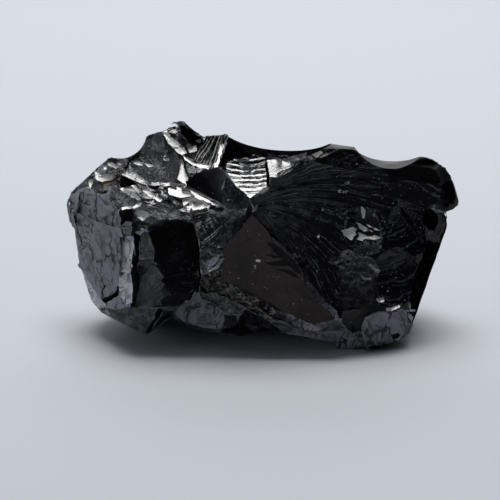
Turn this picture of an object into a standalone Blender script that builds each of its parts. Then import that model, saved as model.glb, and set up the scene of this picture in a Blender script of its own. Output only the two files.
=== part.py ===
"""A nugget of elite shungite: one glassy black stone, modelled the way it broke.

A rough block is stretched over a few named corners, flakes are struck off it one
after another, and its underside is cut level so that it rests as it lies. Corners
and flakes are laid out square to the show face, in millimetres across (to the
right), up and out (towards the viewer); the whole stone is then leaned back.
"""

import math
from dataclasses import dataclass

import bmesh
import bpy
from mathutils import Matrix, Vector

MM = 0.001

STONE_NAME = "shungite_stone"

# Driving dimensions.
LEAN_BACK = math.radians(18.0)  # how far the show face is tipped back from upright
BASE_LEVEL = -11.8  # height of the level underside before the stone is set down, mm
BASE_SPAN = 80.0  # side of the block that trims the underside level, mm

# The plug that strikes a flake off.
RINGS = 5
ROUND = 20
WIDEST_DISH_ANGLE = math.radians(80.0)
LID_SHARE = 2.0  # how far the plug stands out of the stone, in times its reach

# Material: a black stone with a glassy break.
STONE_COLOUR = (0.014, 0.013, 0.016, 1.0)
STONE_ROUGHNESS = 0.28
STONE_METALLIC = 0.0
STONE_IOR = 1.7

# The rough stone is two blocks grown together; a notch is left below where they meet.
# Corners of each block: across, up, out.
LEFT_BLOCK = {
    "edge_top": (-16.4, 1.2, 8.6),
    "edge_foot": (-16.2, -8.6, 8.6),
    "end": (-24.9, 4.7, -2.2),
    "end_low": (-24.2, 1.8, -2.6),
    "shoulder": (-24.3, 6.1, -3.0),
    "shoulder_top": (-22.0, 7.6, -2.0),
    "cap": (-19.9, 10.0, -1.0),
    "peak_left": (-13.9, 14.0, 1.0),
    "peak": (-11.2, 15.0, 2.0),
    "peak_right": (-9.9, 14.9, 2.2),
    "toe": (-14.6, -11.8, 4.4),
    "toe_left": (-20.3, -9.0, 1.6),
    "heel": (-21.6, -7.5, 0.0),
    "hip": (-23.3, -3.3, -1.2),
    "notch_front": (-9.0, -7.6, 9.2),
    "notch_back": (-8.0, -7.5, -8.0),
    "join_top": (-3.0, 9.0, 5.6),
    "join_front": (-6.0, 2.0, 9.8),
    "back_hip": (-20.5, -3.0, -10.0),
    "back_shoulder": (-17.0, 6.5, -11.0),
    "back_foot": (-14.5, -10.0, -9.5),
    "back_top": (-6.0, 9.0, -10.0),
}
RIGHT_BLOCK = {
    "brow": (-1.5, 4.4, 10.9),
    "join_front": (-13.0, -6.5, 8.8),
    "join_top": (-12.0, 6.0, 5.0),
    "join_back": (-12.0, -7.0, -9.0),
    "second_peak_left": (-7.4, 13.2, 4.4),
    "second_peak": (-4.8, 13.6, 5.8),
    "crest": (8.4, 11.8, 5.8),
    "crest_right": (11.4, 11.3, 5.0),
    "nub_top": (21.2, 10.2, 2.2),
    "nub_shoulder": (23.6, 9.0, 1.2),
    "nub": (24.9, 5.0, 0.0),
    "nub_back": (24.0, 3.2, -4.0),
    "cheek": (18.0, 2.0, 6.6),
    "face_brow": (9.0, 10.8, 7.2),
    "face_foot": (14.0, -9.6, 8.2),
    "foot_right": (19.8, -10.2, 3.4),
    "foot_heel": (18.4, -12.2, 3.4),
    "rest_right": (15.5, -14.1, 4.6),
    "rest_left": (10.0, -13.9, 3.4),
    "belly_front": (2.0, -9.5, 9.8),
    "belly": (-6.6, -11.5, 3.4),
    "belly_left": (-9.2, -10.8, 3.0),
    "belly_rest": (-7.5, -11.2, -5.0),
    "back_top": (10.0, 8.0, -11.5),
    "back_top_left": (-5.0, 9.0, -11.0),
    "back_cheek": (20.0, 2.0, -9.5),
    "back_foot_right": (17.0, -9.0, -9.5),
    "back_foot": (0.0, -9.0, -14.0),
    "back": (2.0, 2.0, -15.0),
}


@dataclass(frozen=True)
class Flake:
    """One flake struck off: where its hollow is deepest, which way it faces, its form."""

    name: str
    at: tuple  # across, up, out
    facing: tuple  # degrees turned to the right, degrees tipped up
    dish: float  # radius of the hollow; zero leaves a flat face
    reach: float  # half the flake's width
    stretch: float = 1.0  # how much longer it is one way than the other
    turn: float = 0.0  # degrees that the long way is turned from level
    sides: int = ROUND  # sides of the plug


FLAKES = (
    # The rim, struck from above and from the right.
    Flake("left_saddle", (-15.9, 11.1, 0.0), (-85, 51), 3.4, 3.0, 2.5),
    Flake("peak_dip", (-7.3, 13.0, 4.0), (10, 78), 2.6, 2.4, 3.0, 90.0),
    Flake("saddle", (2.6, 10.3, 3.0), (0, 80), 10.0, 8.0, 1.6, 90.0),
    Flake("right_dip", (16.2, 9.2, 2.0), (0, 80), 5.5, 5.0, 2.0, 90.0),
    Flake("right_flank", (21.2, -3.9, -0.2), (70, -14), 0.0, 7.4),
    Flake("underside", (3.0, -11.7, 4.0), (-90, -79), 0.0, 6.6),
    # The show face, from left to right.
    Flake("left_end", (-19.9, -0.6, 3.8), (-50, -4), 90.0, 13.0),
    Flake("left_bevel", (-21.6, -6.1, 2.0), (-69, -18), 0.0, 7.0),
    Flake("left_cap", (-16.1, 5.7, 4.6), (-15, 40), 40.0, 10.0),
    Flake("left_front", (-13.7, -0.5, 8.7), (-28, -6), 0.0, 2.85, sides=4),
    Flake("left_fan", (-13.6, -5.8, 8.5), (-12, -14), 0.0, 2.6, sides=4),
    Flake("dark_hollow", (-10.9, -2.8, 8.5), (3, 2), 10.0, 3.6, 1.73, 90.0),
    Flake("toe_front", (-16.8, -9.8, 7.1), (-8, -45), 0.0, 5.4),
    Flake("brown_face", (2.3, -5.7, 9.1), (2, -7), 80.0, 14.0),
    Flake("great_fan", (9.9, 2.5, 6.5), (17, 4), 60.0, 20.0),
    Flake("fan_pit", (12.2, 2.1, 5.45), (20, 6), 4.4, 2.2, 1.4, 0.0),
    Flake("right_hollow", (21.4, 2.4, 1.6), (45, 0), 2.6, 2.0),
    Flake("foot_hollow", (12.0, -11.0, 6.0), (10, -30), 3.0, 2.2, 1.4, 60.0),
    Flake("right_foot", (17.0, -11.2, 5.0), (16, -22), 22.0, 4.6, 1.2, 20.0),
    Flake("under_strip", (9.0, -13.0, 4.6), (0, -52), 0.0, 4.0),
    Flake("vein_slope", (-3.75, -10.1, 7.45), (-13, -28), 0.0, 5.5, 1.2, -32.0, 4),
    Flake("belly", (-8.2, -9.9, 7.8), (-2, -35), 0.0, 4.4, sides=4),
    Flake("peak_bowl", (-9.4, 11.7, 3.2), (-5, 20), 11.0, 6.0),
    Flake("middle_bowl", (-6.6, 11.2, 5.3), (-18, 22), 10.0, 5.0),
    Flake("ripple_bowl", (-1.5, 8.6, 8.0), (3, 28), 14.0, 8.0),
    Flake("smooth_slope", (-13.3, 10.2, 2.1), (-30, 28), 16.0, 6.0),
    Flake("lens_hollow", (-6.4, 7.0, 6.9), (-22, 12), 4.6, 2.6, 1.8, -20.0),
    Flake("rough_corner", (-5.3, 1.9, 9.9), (-10, 6), 0.0, 5.0),
    Flake("nub_front", (21.6, 7.6, 2.7), (52, 12), 9.0, 3.6),
    # The back, from left to right.
    Flake("back_end", (-17.6, 0.8, -7.6), (-138, 8), 20.0, 8.0),
    Flake("back_peak", (-12.4, 8.2, -4.8), (-162, 42), 16.0, 7.5),
    Flake("back_shell", (-0.5, 5.6, -8.8), (174, 40), 22.0, 9.0, 1.25, 20.0),
    Flake("back_crest", (10.6, 7.4, -6.0), (156, 42), 14.0, 6.5, 1.3, 0.0),
    Flake("back_nub", (20.0, 3.4, -4.8), (130, 22), 13.0, 6.0),
    Flake("back_face", (3.4, -2.0, -12.6), (176, -4), 26.0, 8.0, 1.35, -15.0),
    Flake("back_foot", (12.6, -7.0, -9.6), (152, -16), 18.0, 6.0, 1.3, -20.0),
    Flake("back_heel", (-8.6, -4.2, -11.0), (-168, -12), 17.0, 6.2),
    Flake("back_chip", (14.6, 0.2, -9.4), (146, 6), 5.0, 3.0, 1.3, 40.0),
)


def facing_vector(facing):
    """The outward direction of a face, in the stone's own axes."""
    side, rise = (math.radians(angle) for angle in facing)
    return Vector((
        math.sin(side) * math.cos(rise),
        -math.cos(side) * math.cos(rise),
        math.sin(rise),
    ))


def placed(point):
    """Across, up and out in millimetres, as a place in Blender's axes in metres."""
    across, up, out = point
    return Vector((across, -out, up)) * MM


def plug_profile(flake):
    """The turned outline of a plug: its dished end, then its side and its lid."""
    reach = flake.reach / math.cos(math.pi / flake.sides)
    if flake.dish:
        widest = min(math.asin(min(reach / flake.dish, 1.0)), WIDEST_DISH_ANGLE)
        angles = [widest * ring / RINGS for ring in range(RINGS + 1)]
        end = [(flake.dish * math.sin(a), flake.dish * (1.0 - math.cos(a))) for a in angles]
    else:
        end = [(0.0, 0.0), (reach, 0.0)]
    rim, height = end[-1]
    lid = height + LID_SHARE * reach
    return end + [(rim, lid), (0.0, lid)]


def plug_axes(flake):
    """The plug's own axes: level, up the face, and straight out of it."""
    out = facing_vector(flake.facing)
    level = Vector((0, 0, 1)).cross(out).normalized()
    return Matrix((level, out.cross(level), out)).transposed().to_4x4()


def as_cutter(name, shape, cutters):
    """An object that only cuts or joins, kept out of the part."""
    bmesh.ops.recalc_face_normals(shape, faces=shape.faces)
    mesh = bpy.data.meshes.new(name)
    shape.to_mesh(mesh)
    shape.free()
    cutter = bpy.data.objects.new(name, mesh)
    cutter.hide_render = True
    cutter.display_type = "WIRE"
    cutters.objects.link(cutter)
    return cutter


def make_plug(flake, cutters):
    """The solid that is taken away to leave the flake's face."""
    shape = bmesh.new()
    profile = [shape.verts.new((x * MM, 0.0, z * MM)) for x, z in plug_profile(flake)]
    edges = [shape.edges.new(pair) for pair in zip(profile, profile[1:])]
    bmesh.ops.spin(
        shape, geom=profile + edges, cent=(0, 0, 0), axis=(0, 0, 1),
        angle=2 * math.pi, steps=flake.sides, use_merge=True, use_duplicate=False,
    )
    bmesh.ops.remove_doubles(shape, verts=shape.verts, dist=1e-7)
    square_up = Matrix.Rotation(math.pi / flake.sides, 4, "Z")
    stretch = Matrix.Diagonal((flake.stretch, 1.0, 1.0, 1.0))
    turn = Matrix.Rotation(math.radians(flake.turn), 4, "Z")
    place = Matrix.Translation(placed(flake.at)) @ plug_axes(flake)
    bmesh.ops.transform(shape, matrix=place @ turn @ stretch @ square_up, verts=shape.verts)
    return as_cutter("plug_" + flake.name, shape, cutters)


def make_block(name, corners, cutters):
    """A rough block: the tightest hull over its named corners."""
    shape = bmesh.new()
    for point in corners.values():
        shape.verts.new(placed(point))
    hull = bmesh.ops.convex_hull(shape, input=shape.verts)
    bmesh.ops.delete(shape, geom=hull["geom_interior"], context="VERTS")
    return as_cutter(name, shape, cutters)


def make_base_trim(cutters):
    """The slab whose top is the level underside."""
    shape = bmesh.new()
    bmesh.ops.create_cube(shape, size=BASE_SPAN * MM)
    top = Vector((0, 0, BASE_LEVEL - BASE_SPAN / 2)) * MM
    upright = Matrix.Rotation(LEAN_BACK, 4, "X")
    bmesh.ops.transform(shape, matrix=upright @ Matrix.Translation(top), verts=shape.verts)
    return as_cutter("base_trim", shape, cutters)


def add_boolean(target, cutter, operation):
    """One exact Boolean on the target."""
    cut = target.modifiers.new(cutter.name, "BOOLEAN")
    cut.operation = operation
    cut.object = cutter


def carve(cutters):
    """The rough blocks joined, with every flake and the underside taken off, as a mesh."""
    rough = make_block("rough_stone", LEFT_BLOCK, cutters)
    add_boolean(rough, make_block("right_block", RIGHT_BLOCK, cutters), "UNION")
    for flake in FLAKES:
        add_boolean(rough, make_plug(flake, cutters), "DIFFERENCE")
    add_boolean(rough, make_base_trim(cutters), "DIFFERENCE")
    graph = bpy.context.evaluated_depsgraph_get()
    return bpy.data.meshes.new_from_object(rough.evaluated_get(graph))


def set_down(mesh):
    """Lean the stone back and stand it on the floor, centred over the origin."""
    mesh.transform(Matrix.Rotation(-LEAN_BACK, 4, "X"))
    low, high = (
        Vector(pick(vertex.co[axis] for vertex in mesh.vertices) for axis in range(3))
        for pick in (min, max)
    )
    middle = (low + high) / 2
    mesh.transform(Matrix.Translation((-middle.x, -middle.y, -low.z)))


def stone_material():
    """Black, glassy and opaque."""
    material = bpy.data.materials.new("black_shungite")
    material.use_nodes = True
    shader = material.node_tree.nodes["Principled BSDF"]
    shader.inputs["Base Color"].default_value = STONE_COLOUR
    shader.inputs["Roughness"].default_value = STONE_ROUGHNESS
    shader.inputs["Metallic"].default_value = STONE_METALLIC
    shader.inputs["IOR"].default_value = STONE_IOR
    material.diffuse_color = STONE_COLOUR
    return material


def main():
    for thing in list(bpy.data.objects):
        bpy.data.objects.remove(thing)
    specimen = bpy.data.collections.new("elite_shungite")
    cutters = bpy.data.collections.new("cutters")
    cutters.hide_render = True
    bpy.context.scene.collection.children.link(specimen)
    bpy.context.scene.collection.children.link(cutters)
    mesh = carve(cutters)
    mesh.name = STONE_NAME
    set_down(mesh)
    mesh.materials.clear()
    mesh.materials.append(stone_material())
    specimen.objects.link(bpy.data.objects.new(STONE_NAME, mesh))


main()
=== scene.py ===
"""Looks of the elite shungite stone: its broken faces in detail, their finishes and a plain studio.

The stone is laid out square to its show face, in millimetres across (to the right), up and
out (towards the viewer). Each broken face is a scar: the bed that a struck flake left behind,
with ripples and hackles that spread from where the blow fell. Scars are carved into the stone
one after another, and the layout is then leaned back and set down in the frame.
"""

import logging
import math
import random
from collections.abc import Callable, Iterable
from dataclasses import dataclass, field, replace
from enum import Enum

import bmesh
import bpy
import numpy as np
from mathutils import Matrix, Vector
from mathutils.bvhtree import BVHTree
from mathutils.geometry import delaunay_2d_cdt

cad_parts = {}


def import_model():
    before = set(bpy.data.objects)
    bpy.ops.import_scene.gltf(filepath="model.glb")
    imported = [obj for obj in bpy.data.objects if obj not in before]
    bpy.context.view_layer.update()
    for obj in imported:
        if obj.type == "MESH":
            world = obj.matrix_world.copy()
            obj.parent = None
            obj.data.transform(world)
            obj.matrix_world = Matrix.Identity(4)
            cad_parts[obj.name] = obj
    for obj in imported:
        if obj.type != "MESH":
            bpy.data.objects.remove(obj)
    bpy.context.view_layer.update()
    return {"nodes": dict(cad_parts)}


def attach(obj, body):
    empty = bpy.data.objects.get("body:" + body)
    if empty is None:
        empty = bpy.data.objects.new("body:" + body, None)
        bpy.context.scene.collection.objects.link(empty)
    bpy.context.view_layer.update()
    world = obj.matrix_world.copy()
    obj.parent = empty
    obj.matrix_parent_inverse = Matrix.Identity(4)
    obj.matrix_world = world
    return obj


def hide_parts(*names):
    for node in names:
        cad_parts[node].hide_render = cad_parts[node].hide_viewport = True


log = logging.getLogger("shungite")

Point = tuple[float, float, float]
Spot = tuple[float, float]
Colour = tuple[float, float, float]

STONE_NODE = "shungite_stone"
STONE_PIECE = "carved_stone"

METRES_PER_MM = 0.001
STRIKE_MAP = "strike"  # the UV map: millimetres from where the blow fell
STRIKE_MAP_SCALE = 0.01  # UV units per millimetre
WEAR_ATTRIBUTE = "edge_wear"
SCAR_ATTRIBUTE = "scar"
BED_ATTRIBUTE = "bed"
SKETCH_SQUARE = 0.127  # millimetres
SKETCH_ZERO = (262, 240)  # the layout's zero point on the sketch, in squares across and down
EYE: Point = (-1.524, -1.27, 317.5)  # where the camera is: across, up and out in millimetres


class Graph:
    """A node tree being wired, with short calls for what wiring repeats."""

    def __init__(self, tree: bpy.types.NodeTree) -> None:
        """Start on a tree.

        Args:
            tree: The tree that new nodes go in.
        """
        self.tree = tree

    def feed(self, socket: bpy.types.NodeSocket, value: object) -> None:
        """Link a socket's source, or set its value.

        Args:
            socket: The input that is fed.
            value: An output socket, or a plain value.
        """
        if isinstance(value, bpy.types.NodeSocket):
            self.tree.links.new(value, socket)
        else:
            socket.default_value = value

    def add(self, kind: str, inputs: dict[object, object] | None = None, **settings: object) -> bpy.types.Node:
        """Add a node.

        Args:
            kind: Blender's name for the node type.
            inputs: What feeds each input, by its name or number.
            **settings: The node's own properties.

        Returns:
            The new node.
        """
        node = self.tree.nodes.new(kind)
        for name, setting in settings.items():
            setattr(node, name, setting)
        for key, value in (inputs or {}).items():
            self.feed(node.inputs[key], value)
        return node

    def math(self, operation: str, *values: object) -> bpy.types.NodeSocket:
        """Add a Math node and return its result.

        Args:
            operation: The Math node's operation.
            *values: Sockets or numbers, in the node's order.

        Returns:
            The result socket.
        """
        return self.add("ShaderNodeMath", dict(enumerate(values)), operation=operation).outputs[0]

    def ramp(self, value: object, low: float, high: float, to_low: float = 0.0, to_high: float = 1.0) -> bpy.types.NodeSocket:
        """Ease a value smoothly from one range to another.

        Args:
            value: What is eased.
            low: Where the change starts.
            high: Where it ends.
            to_low: The result at the start.
            to_high: The result at the end.

        Returns:
            The result socket.
        """
        inputs = {0: value, 1: low, 2: high, 3: to_low, 4: to_high}
        return self.add("ShaderNodeMapRange", inputs, interpolation_type="SMOOTHSTEP").outputs[0]

    def noise(self, vector: bpy.types.NodeSocket, scale: object, detail: float = 2.0, roughness: float = 0.5) -> bpy.types.NodeSocket:
        """Add a Noise Texture.

        Args:
            vector: Where it is read.
            scale: Its scale.
            detail: Its octaves.
            roughness: How strong the finer octaves are.

        Returns:
            The grey value, about 0.5 on average.
        """
        inputs = {"Vector": vector, "Scale": scale, "Detail": detail, "Roughness": roughness}
        return self.add("ShaderNodeTexNoise", inputs).outputs[0]

    def vector(self, x: object, y: object, z: object = 0.0) -> bpy.types.NodeSocket:
        """Join three values into a vector.

        Args:
            x: The first value.
            y: The second value.
            z: The third value.

        Returns:
            The vector socket.
        """
        return self.add("ShaderNodeCombineXYZ", {0: x, 1: y, 2: z}).outputs[0]

    def split(self, vector: bpy.types.NodeSocket) -> tuple[bpy.types.NodeSocket, ...]:
        """Split a vector into its three values.

        Args:
            vector: The vector socket.

        Returns:
            The x, y and z sockets.
        """
        return tuple(self.add("ShaderNodeSeparateXYZ", {0: vector}).outputs)


@dataclass(frozen=True)
class Layout:
    """The layout square to the show face, and how it sits in the frame."""

    lean_back: float = math.radians(18.0)
    behind: float = 0.98  # how far its zero point lies before the box's middle, mm
    above: float = 11.8  # how far its zero point lies above the floor, mm

    @property
    def to_frame(self) -> Matrix:
        """The matrix from the layout's millimetres to the frame's metres."""
        shift = Matrix.Translation(Vector((0.0, -self.behind, self.above)) * METRES_PER_MM)
        return shift @ Matrix.Rotation(-self.lean_back, 4, "X") @ Matrix.Scale(METRES_PER_MM, 4)

    @staticmethod
    def place(point: Point) -> Vector:
        """A point given across, up and out, in the layout's axes."""
        across, up, out = point
        return Vector((across, -out, up))

    @staticmethod
    def facing(side: float, rise: float) -> Vector:
        """The outward direction of a face.

        Args:
            side: Degrees that it is turned to the right.
            rise: Degrees that it is tipped up.

        Returns:
            The unit vector in the layout's axes.
        """
        turn, tip = math.radians(side), math.radians(rise)
        return Vector((math.sin(turn) * math.cos(tip), -math.cos(turn) * math.cos(tip), math.sin(tip)))


@dataclass(frozen=True)
class Relief:
    """What a break leaves on a scar's bed. Sizes are in millimetres."""

    ripple_gap: float = 3.0
    ripple_height: float = 0.02
    hackle_lines: float = 160.0  # round a full turn about the strike
    hackle_height: float = 0.01
    swirl: float = 0.0  # how far the hackles turn with each millimetre, radians
    rough_size: float = 2.0
    rough_height: float = 0.02
    plate_size: float = 1.5
    plate_tilt: float = 0.0  # rise over run, about
    pit_size: float = 1.6
    pit_depth: float = 0.0
    wander: float = 0.5  # how far the ripples stray from true circles
    seed: float = 0.0


class ReliefTree:
    """The Geometry Nodes tree that shapes the bed of a scar from where the blow fell."""

    INPUTS: tuple[str, ...] = (
        "Curve", "Stretch", "Sink", "Strike X", "Strike Y", "Ripple Gap", "Ripple Height",
        "Hackle Lines", "Hackle Height", "Swirl", "Rough Size", "Rough Height", "Plate Size", "Plate Tilt",
        "Pit Size", "Pit Depth", "Wander", "Seed",
    )

    def __init__(self) -> None:
        """Build the tree and note each input's identifier."""
        self.tree = bpy.data.node_groups.new("broken_bed", "GeometryNodeTree")
        face = self.tree.interface
        face.new_socket("Geometry", in_out="INPUT", socket_type="NodeSocketGeometry")
        face.new_socket("Geometry", in_out="OUTPUT", socket_type="NodeSocketGeometry")
        sockets = {name: face.new_socket(name, in_out="INPUT", socket_type="NodeSocketFloat") for name in self.INPUTS}
        self.identifiers = {name: socket.identifier for name, socket in sockets.items()}
        self._wire(Graph(self.tree))

    def _wire(self, graph: Graph) -> None:
        """Wire the tree.

        Args:
            graph: The tree being wired.
        """
        given = graph.add("NodeGroupInput").outputs
        x, y, _ = graph.split(graph.add("GeometryNodeInputPosition").outputs[0])
        place = graph.vector(x, y, graph.math("MULTIPLY", given["Seed"], 13.7))
        height = graph.math("SUBTRACT", self._dish(graph, given, x, y), given["Sink"])
        for part in (
            self._strike_marks(graph, given, x, y, place),
            self._rough(graph, given, place),
            self._plates(graph, given, place),
            self._pits(graph, given, place),
        ):
            height = graph.math("ADD", height, part)
        bed = graph.add("GeometryNodeInputNamedAttribute", {"Name": BED_ATTRIBUTE}, data_type="FLOAT").outputs[0]
        lift = graph.vector(0.0, 0.0, graph.math("MULTIPLY", height, bed))
        moved = graph.add("GeometryNodeSetPosition", {"Geometry": given["Geometry"], "Offset": lift})
        graph.add("NodeGroupOutput", {"Geometry": moved.outputs[0]})

    @staticmethod
    def _dish(graph: Graph, given: object, x: bpy.types.NodeSocket, y: bpy.types.NodeSocket) -> bpy.types.NodeSocket:
        """The hollow of the bed: a cap of the sphere whose radius is one over Curve."""
        along = graph.math("DIVIDE", x, given["Stretch"])
        far = graph.math("ADD", graph.math("MULTIPLY", along, along), graph.math("MULTIPLY", y, y))
        bend = graph.math("MULTIPLY", graph.math("MULTIPLY", given["Curve"], given["Curve"]), far)
        root = graph.math("SQRT", graph.math("MAXIMUM", graph.math("SUBTRACT", 1.0, bend), 0.02))
        top = graph.math("MULTIPLY", given["Curve"], far)
        return graph.math("DIVIDE", top, graph.math("ADD", 1.0, root))

    @staticmethod
    def _strike_marks(graph: Graph, given: object, x: bpy.types.NodeSocket, y: bpy.types.NodeSocket, place: bpy.types.NodeSocket) -> bpy.types.NodeSocket:
        """Ripples that ring the strike, and hackles that run out from it."""
        aside = graph.math("SUBTRACT", x, given["Strike X"])
        along = graph.math("SUBTRACT", y, given["Strike Y"])
        squares = graph.math("ADD", graph.math("MULTIPLY", aside, aside), graph.math("MULTIPLY", along, along))
        far = graph.math("SQRT", squares)
        stray = graph.math("SUBTRACT", graph.noise(place, 0.22, 1.0), 0.5)
        ring = graph.math("ADD", far, graph.math("MULTIPLY", stray, graph.math("MULTIPLY", given["Wander"], 4.0)))
        phase = graph.math("MULTIPLY", graph.math("DIVIDE", ring, given["Ripple Gap"]), 2.0 * math.pi)
        lean = graph.math("ADD", phase, graph.math("MULTIPLY", graph.math("SINE", phase), 0.6))
        fade = graph.ramp(graph.noise(place, 0.35, 1.0), 0.3, 0.6, 0.25, 1.0)
        ripple = graph.math("MULTIPLY", graph.math("SINE", lean), graph.math("MULTIPLY", fade, given["Ripple Height"]))
        angle = graph.math("ADD", graph.math("ARCTAN2", along, aside), graph.math("MULTIPLY", far, given["Swirl"]))
        turns = graph.math("DIVIDE", given["Hackle Lines"], 2.0 * math.pi)
        across = graph.math("MULTIPLY", graph.math("COSINE", angle), turns)
        up = graph.math("MULTIPLY", graph.math("SINE", angle), turns)
        lines = graph.noise(graph.vector(across, up, graph.math("MULTIPLY", far, 0.12)), 1.0, 2.0)
        crest = graph.math("ABSOLUTE", graph.math("SUBTRACT", lines, 0.5))
        hackle = graph.math("MULTIPLY", crest, graph.math("MULTIPLY", given["Hackle Height"], -4.0))
        grown = graph.math("MULTIPLY", hackle, graph.ramp(far, 1.0, 6.0, 0.2, 1.0))
        return graph.math("ADD", ripple, grown)

    @staticmethod
    def _rough(graph: Graph, given: object, place: bpy.types.NodeSocket) -> bpy.types.NodeSocket:
        """Unevenness of no special direction."""
        swell = graph.noise(place, graph.math("DIVIDE", 1.0, given["Rough Size"]), 4.0, 0.55)
        return graph.math("MULTIPLY", graph.math("SUBTRACT", swell, 0.5), graph.math("MULTIPLY", given["Rough Height"], 2.0))

    @staticmethod
    def _plates(graph: Graph, given: object, place: bpy.types.NodeSocket) -> bpy.types.NodeSocket:
        """Small flat plates, longer one way, that each lie at their own tilt."""
        x, y, z = graph.split(place)
        bend = graph.math("MULTIPLY", graph.math("SUBTRACT", graph.noise(place, 0.7, 2.0), 0.5), 1.6)
        bent = graph.vector(graph.math("MULTIPLY", graph.math("ADD", x, bend), 0.5), graph.math("ADD", y, bend), z)
        scale = graph.math("DIVIDE", 1.0, given["Plate Size"])
        cell = graph.add("ShaderNodeTexVoronoi", {"Vector": bent, "Scale": scale}).outputs
        red, green, blue = graph.split(cell["Color"])
        middle = graph.split(cell["Position"])
        where = graph.split(bent)
        height = graph.math("MULTIPLY", graph.math("SUBTRACT", blue, 0.5), given["Plate Size"])
        for share, spot, core in ((red, where[0], middle[0]), (green, where[1], middle[1])):
            slope = graph.math("MULTIPLY", graph.math("SUBTRACT", share, 0.5), 3.0)
            height = graph.math("ADD", height, graph.math("MULTIPLY", slope, graph.math("SUBTRACT", spot, core)))
        return graph.math("MULTIPLY", height, given["Plate Tilt"])

    @staticmethod
    def _pits(graph: Graph, given: object, place: bpy.types.NodeSocket) -> bpy.types.NodeSocket:
        """Scattered small hollows."""
        scale = graph.math("DIVIDE", 1.0, given["Pit Size"])
        cell = graph.add("ShaderNodeTexVoronoi", {"Vector": place, "Scale": scale}).outputs["Distance"]
        hole = graph.ramp(cell, 0.12, 0.38, -1.0, 0.0)
        kept = graph.ramp(graph.noise(place, graph.math("MULTIPLY", scale, 0.4), 0.0), 0.48, 0.56)
        return graph.math("MULTIPLY", graph.math("MULTIPLY", hole, kept), given["Pit Depth"])

    def dress(self, plug: bpy.types.Object, values: dict[str, float]) -> None:
        """Put the tree on a plug with its own values.

        Args:
            plug: The plug whose bed is shaped.
            values: A number for each named input.
        """
        modifier = plug.modifiers.new("bed", "NODES")
        modifier.node_group = self.tree
        for name, value in values.items():
            modifier[self.identifiers[name]] = float(value)


class Finish(Enum):
    """The finishes a face of the stone can have. The glint, streak, ripple and comb finishes carry painted highlights,
    the brown finish a painted reflection, and the dull grey partly a painted reflection of the floor.
    """

    GLASS = "glassy_break"
    SMOOTH = "smooth_hollow"
    GREY = "satin_grey"
    DUSTY = "dusty_old_face"
    # painted reflection: a brown tint that stands in for something brown mirrored in the face
    BROWN = "brown_tint_painted_reflection"
    VEIN = "olive_vein"
    ROUGH = "sparkling_rough"
    FAN = "hackled_fan"
    INK = "ink_black"
    GOLD = "golden_stain"
    # glossy break with painted highlights: near-white streaks along the hackles stand in for glare
    PAINTED_STREAKS = "break_with_painted_highlight_streaks"
    # painted highlight: a near-white colour that stands in for the overhead light's glare on small facets
    PAINTED_GLINT = "painted_white_glint"
    # black break with painted highlights: pale thin lines along the hackles stand in for glare
    COMB = "combed_break_painted_highlight_lines"
    MOTTLE = "mottled_break"
    RINGED = "ringed_break"
    HACKLE = "grey_hackles"
    # real ripples with painted highlights: pale arcs along the ripple crests stand in for their glare
    RIPPLE_PAINTED_ARCS = "ripples_with_painted_highlight_arcs"
    # dull grey, and partly a painted reflection: its lighter grey on faces that look down stands in for the bright
    # floor mirrored there
    DULL = "dull_grey"
    SLATE = "blue_grey_slate"
    PALE = "pale_dust"
    BLACK = "flat_black"
    BACK = "weathered_black"


@dataclass(frozen=True)
class Scar:
    """One broken face: where its hollow is deepest, which way it faces, its form and look."""

    name: str
    at: Point  # across, up, out
    facing: tuple[float, float]  # degrees turned to the right, degrees tipped up
    dish: float  # radius of the hollow; zero is flat, below zero bulges
    reach: float  # half the width
    finish: Finish
    relief: Relief
    stretch: float = 1.0  # how much longer it is one way than the other
    turn: float = 0.0  # degrees that the long way is turned from level
    square: bool = False
    strike: tuple[float, float] | None = None  # across, up; the middle where none is given
    sink: float = 0.01  # how far the bed lies under the plain solid's face, mm
    grain: float = 0.24  # size of the bed's mesh, mm
    outline: tuple[Spot, ...] = ()  # corners in the scar's own axes, where the outline is given
    seen: tuple[Spot, ...] = ()  # the same corners across and up, as they are seen
    eye: Point = (0.0, 0.0, 0.0)  # where an outlined scar is seen from, in its own axes

    @property
    def matrix(self) -> Matrix:
        """The scar's own axes in the layout: the long way, up the face, and straight out."""
        out = Layout.facing(*self.facing)
        level = Vector((0, 0, 1)).cross(out).normalized()
        axes = Matrix((level, out.cross(level), out)).transposed().to_4x4()
        return Matrix.Translation(Layout.place(self.at)) @ axes @ Matrix.Rotation(math.radians(self.turn), 4, "Z")

    @property
    def local_strike(self) -> tuple[float, float]:
        """Where the blow fell, in the scar's own axes."""
        if self.strike is None:
            return 0.0, 0.0
        inverse = self.matrix.inverted()
        start = inverse @ Layout.place((*self.strike, 0.0))
        ahead = inverse.to_3x3() @ Layout.place((0.0, 0.0, 1.0))
        hit = start - ahead * (start.z / ahead.z)
        return hit.x, hit.y

    def inputs(self) -> dict[str, float]:
        """The relief tree's inputs for this scar."""
        strike_x, strike_y = self.local_strike
        mark = self.relief
        return {
            "Curve": 1.0 / self.dish if self.dish else 0.0,
            "Stretch": self.stretch,
            "Sink": self.sink,
            "Strike X": strike_x,
            "Strike Y": strike_y,
            "Ripple Gap": mark.ripple_gap,
            "Ripple Height": mark.ripple_height,
            "Hackle Lines": mark.hackle_lines,
            "Hackle Height": mark.hackle_height,
            "Swirl": mark.swirl,
            "Rough Size": mark.rough_size,
            "Rough Height": mark.rough_height,
            "Plate Size": mark.plate_size,
            "Plate Tilt": mark.plate_tilt,
            "Pit Size": mark.pit_size,
            "Pit Depth": mark.pit_depth,
            "Wander": mark.wander,
            "Seed": mark.seed,
        }


FINE_GRAIN = 0.2
BACK_GRAIN = 0.42

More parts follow.
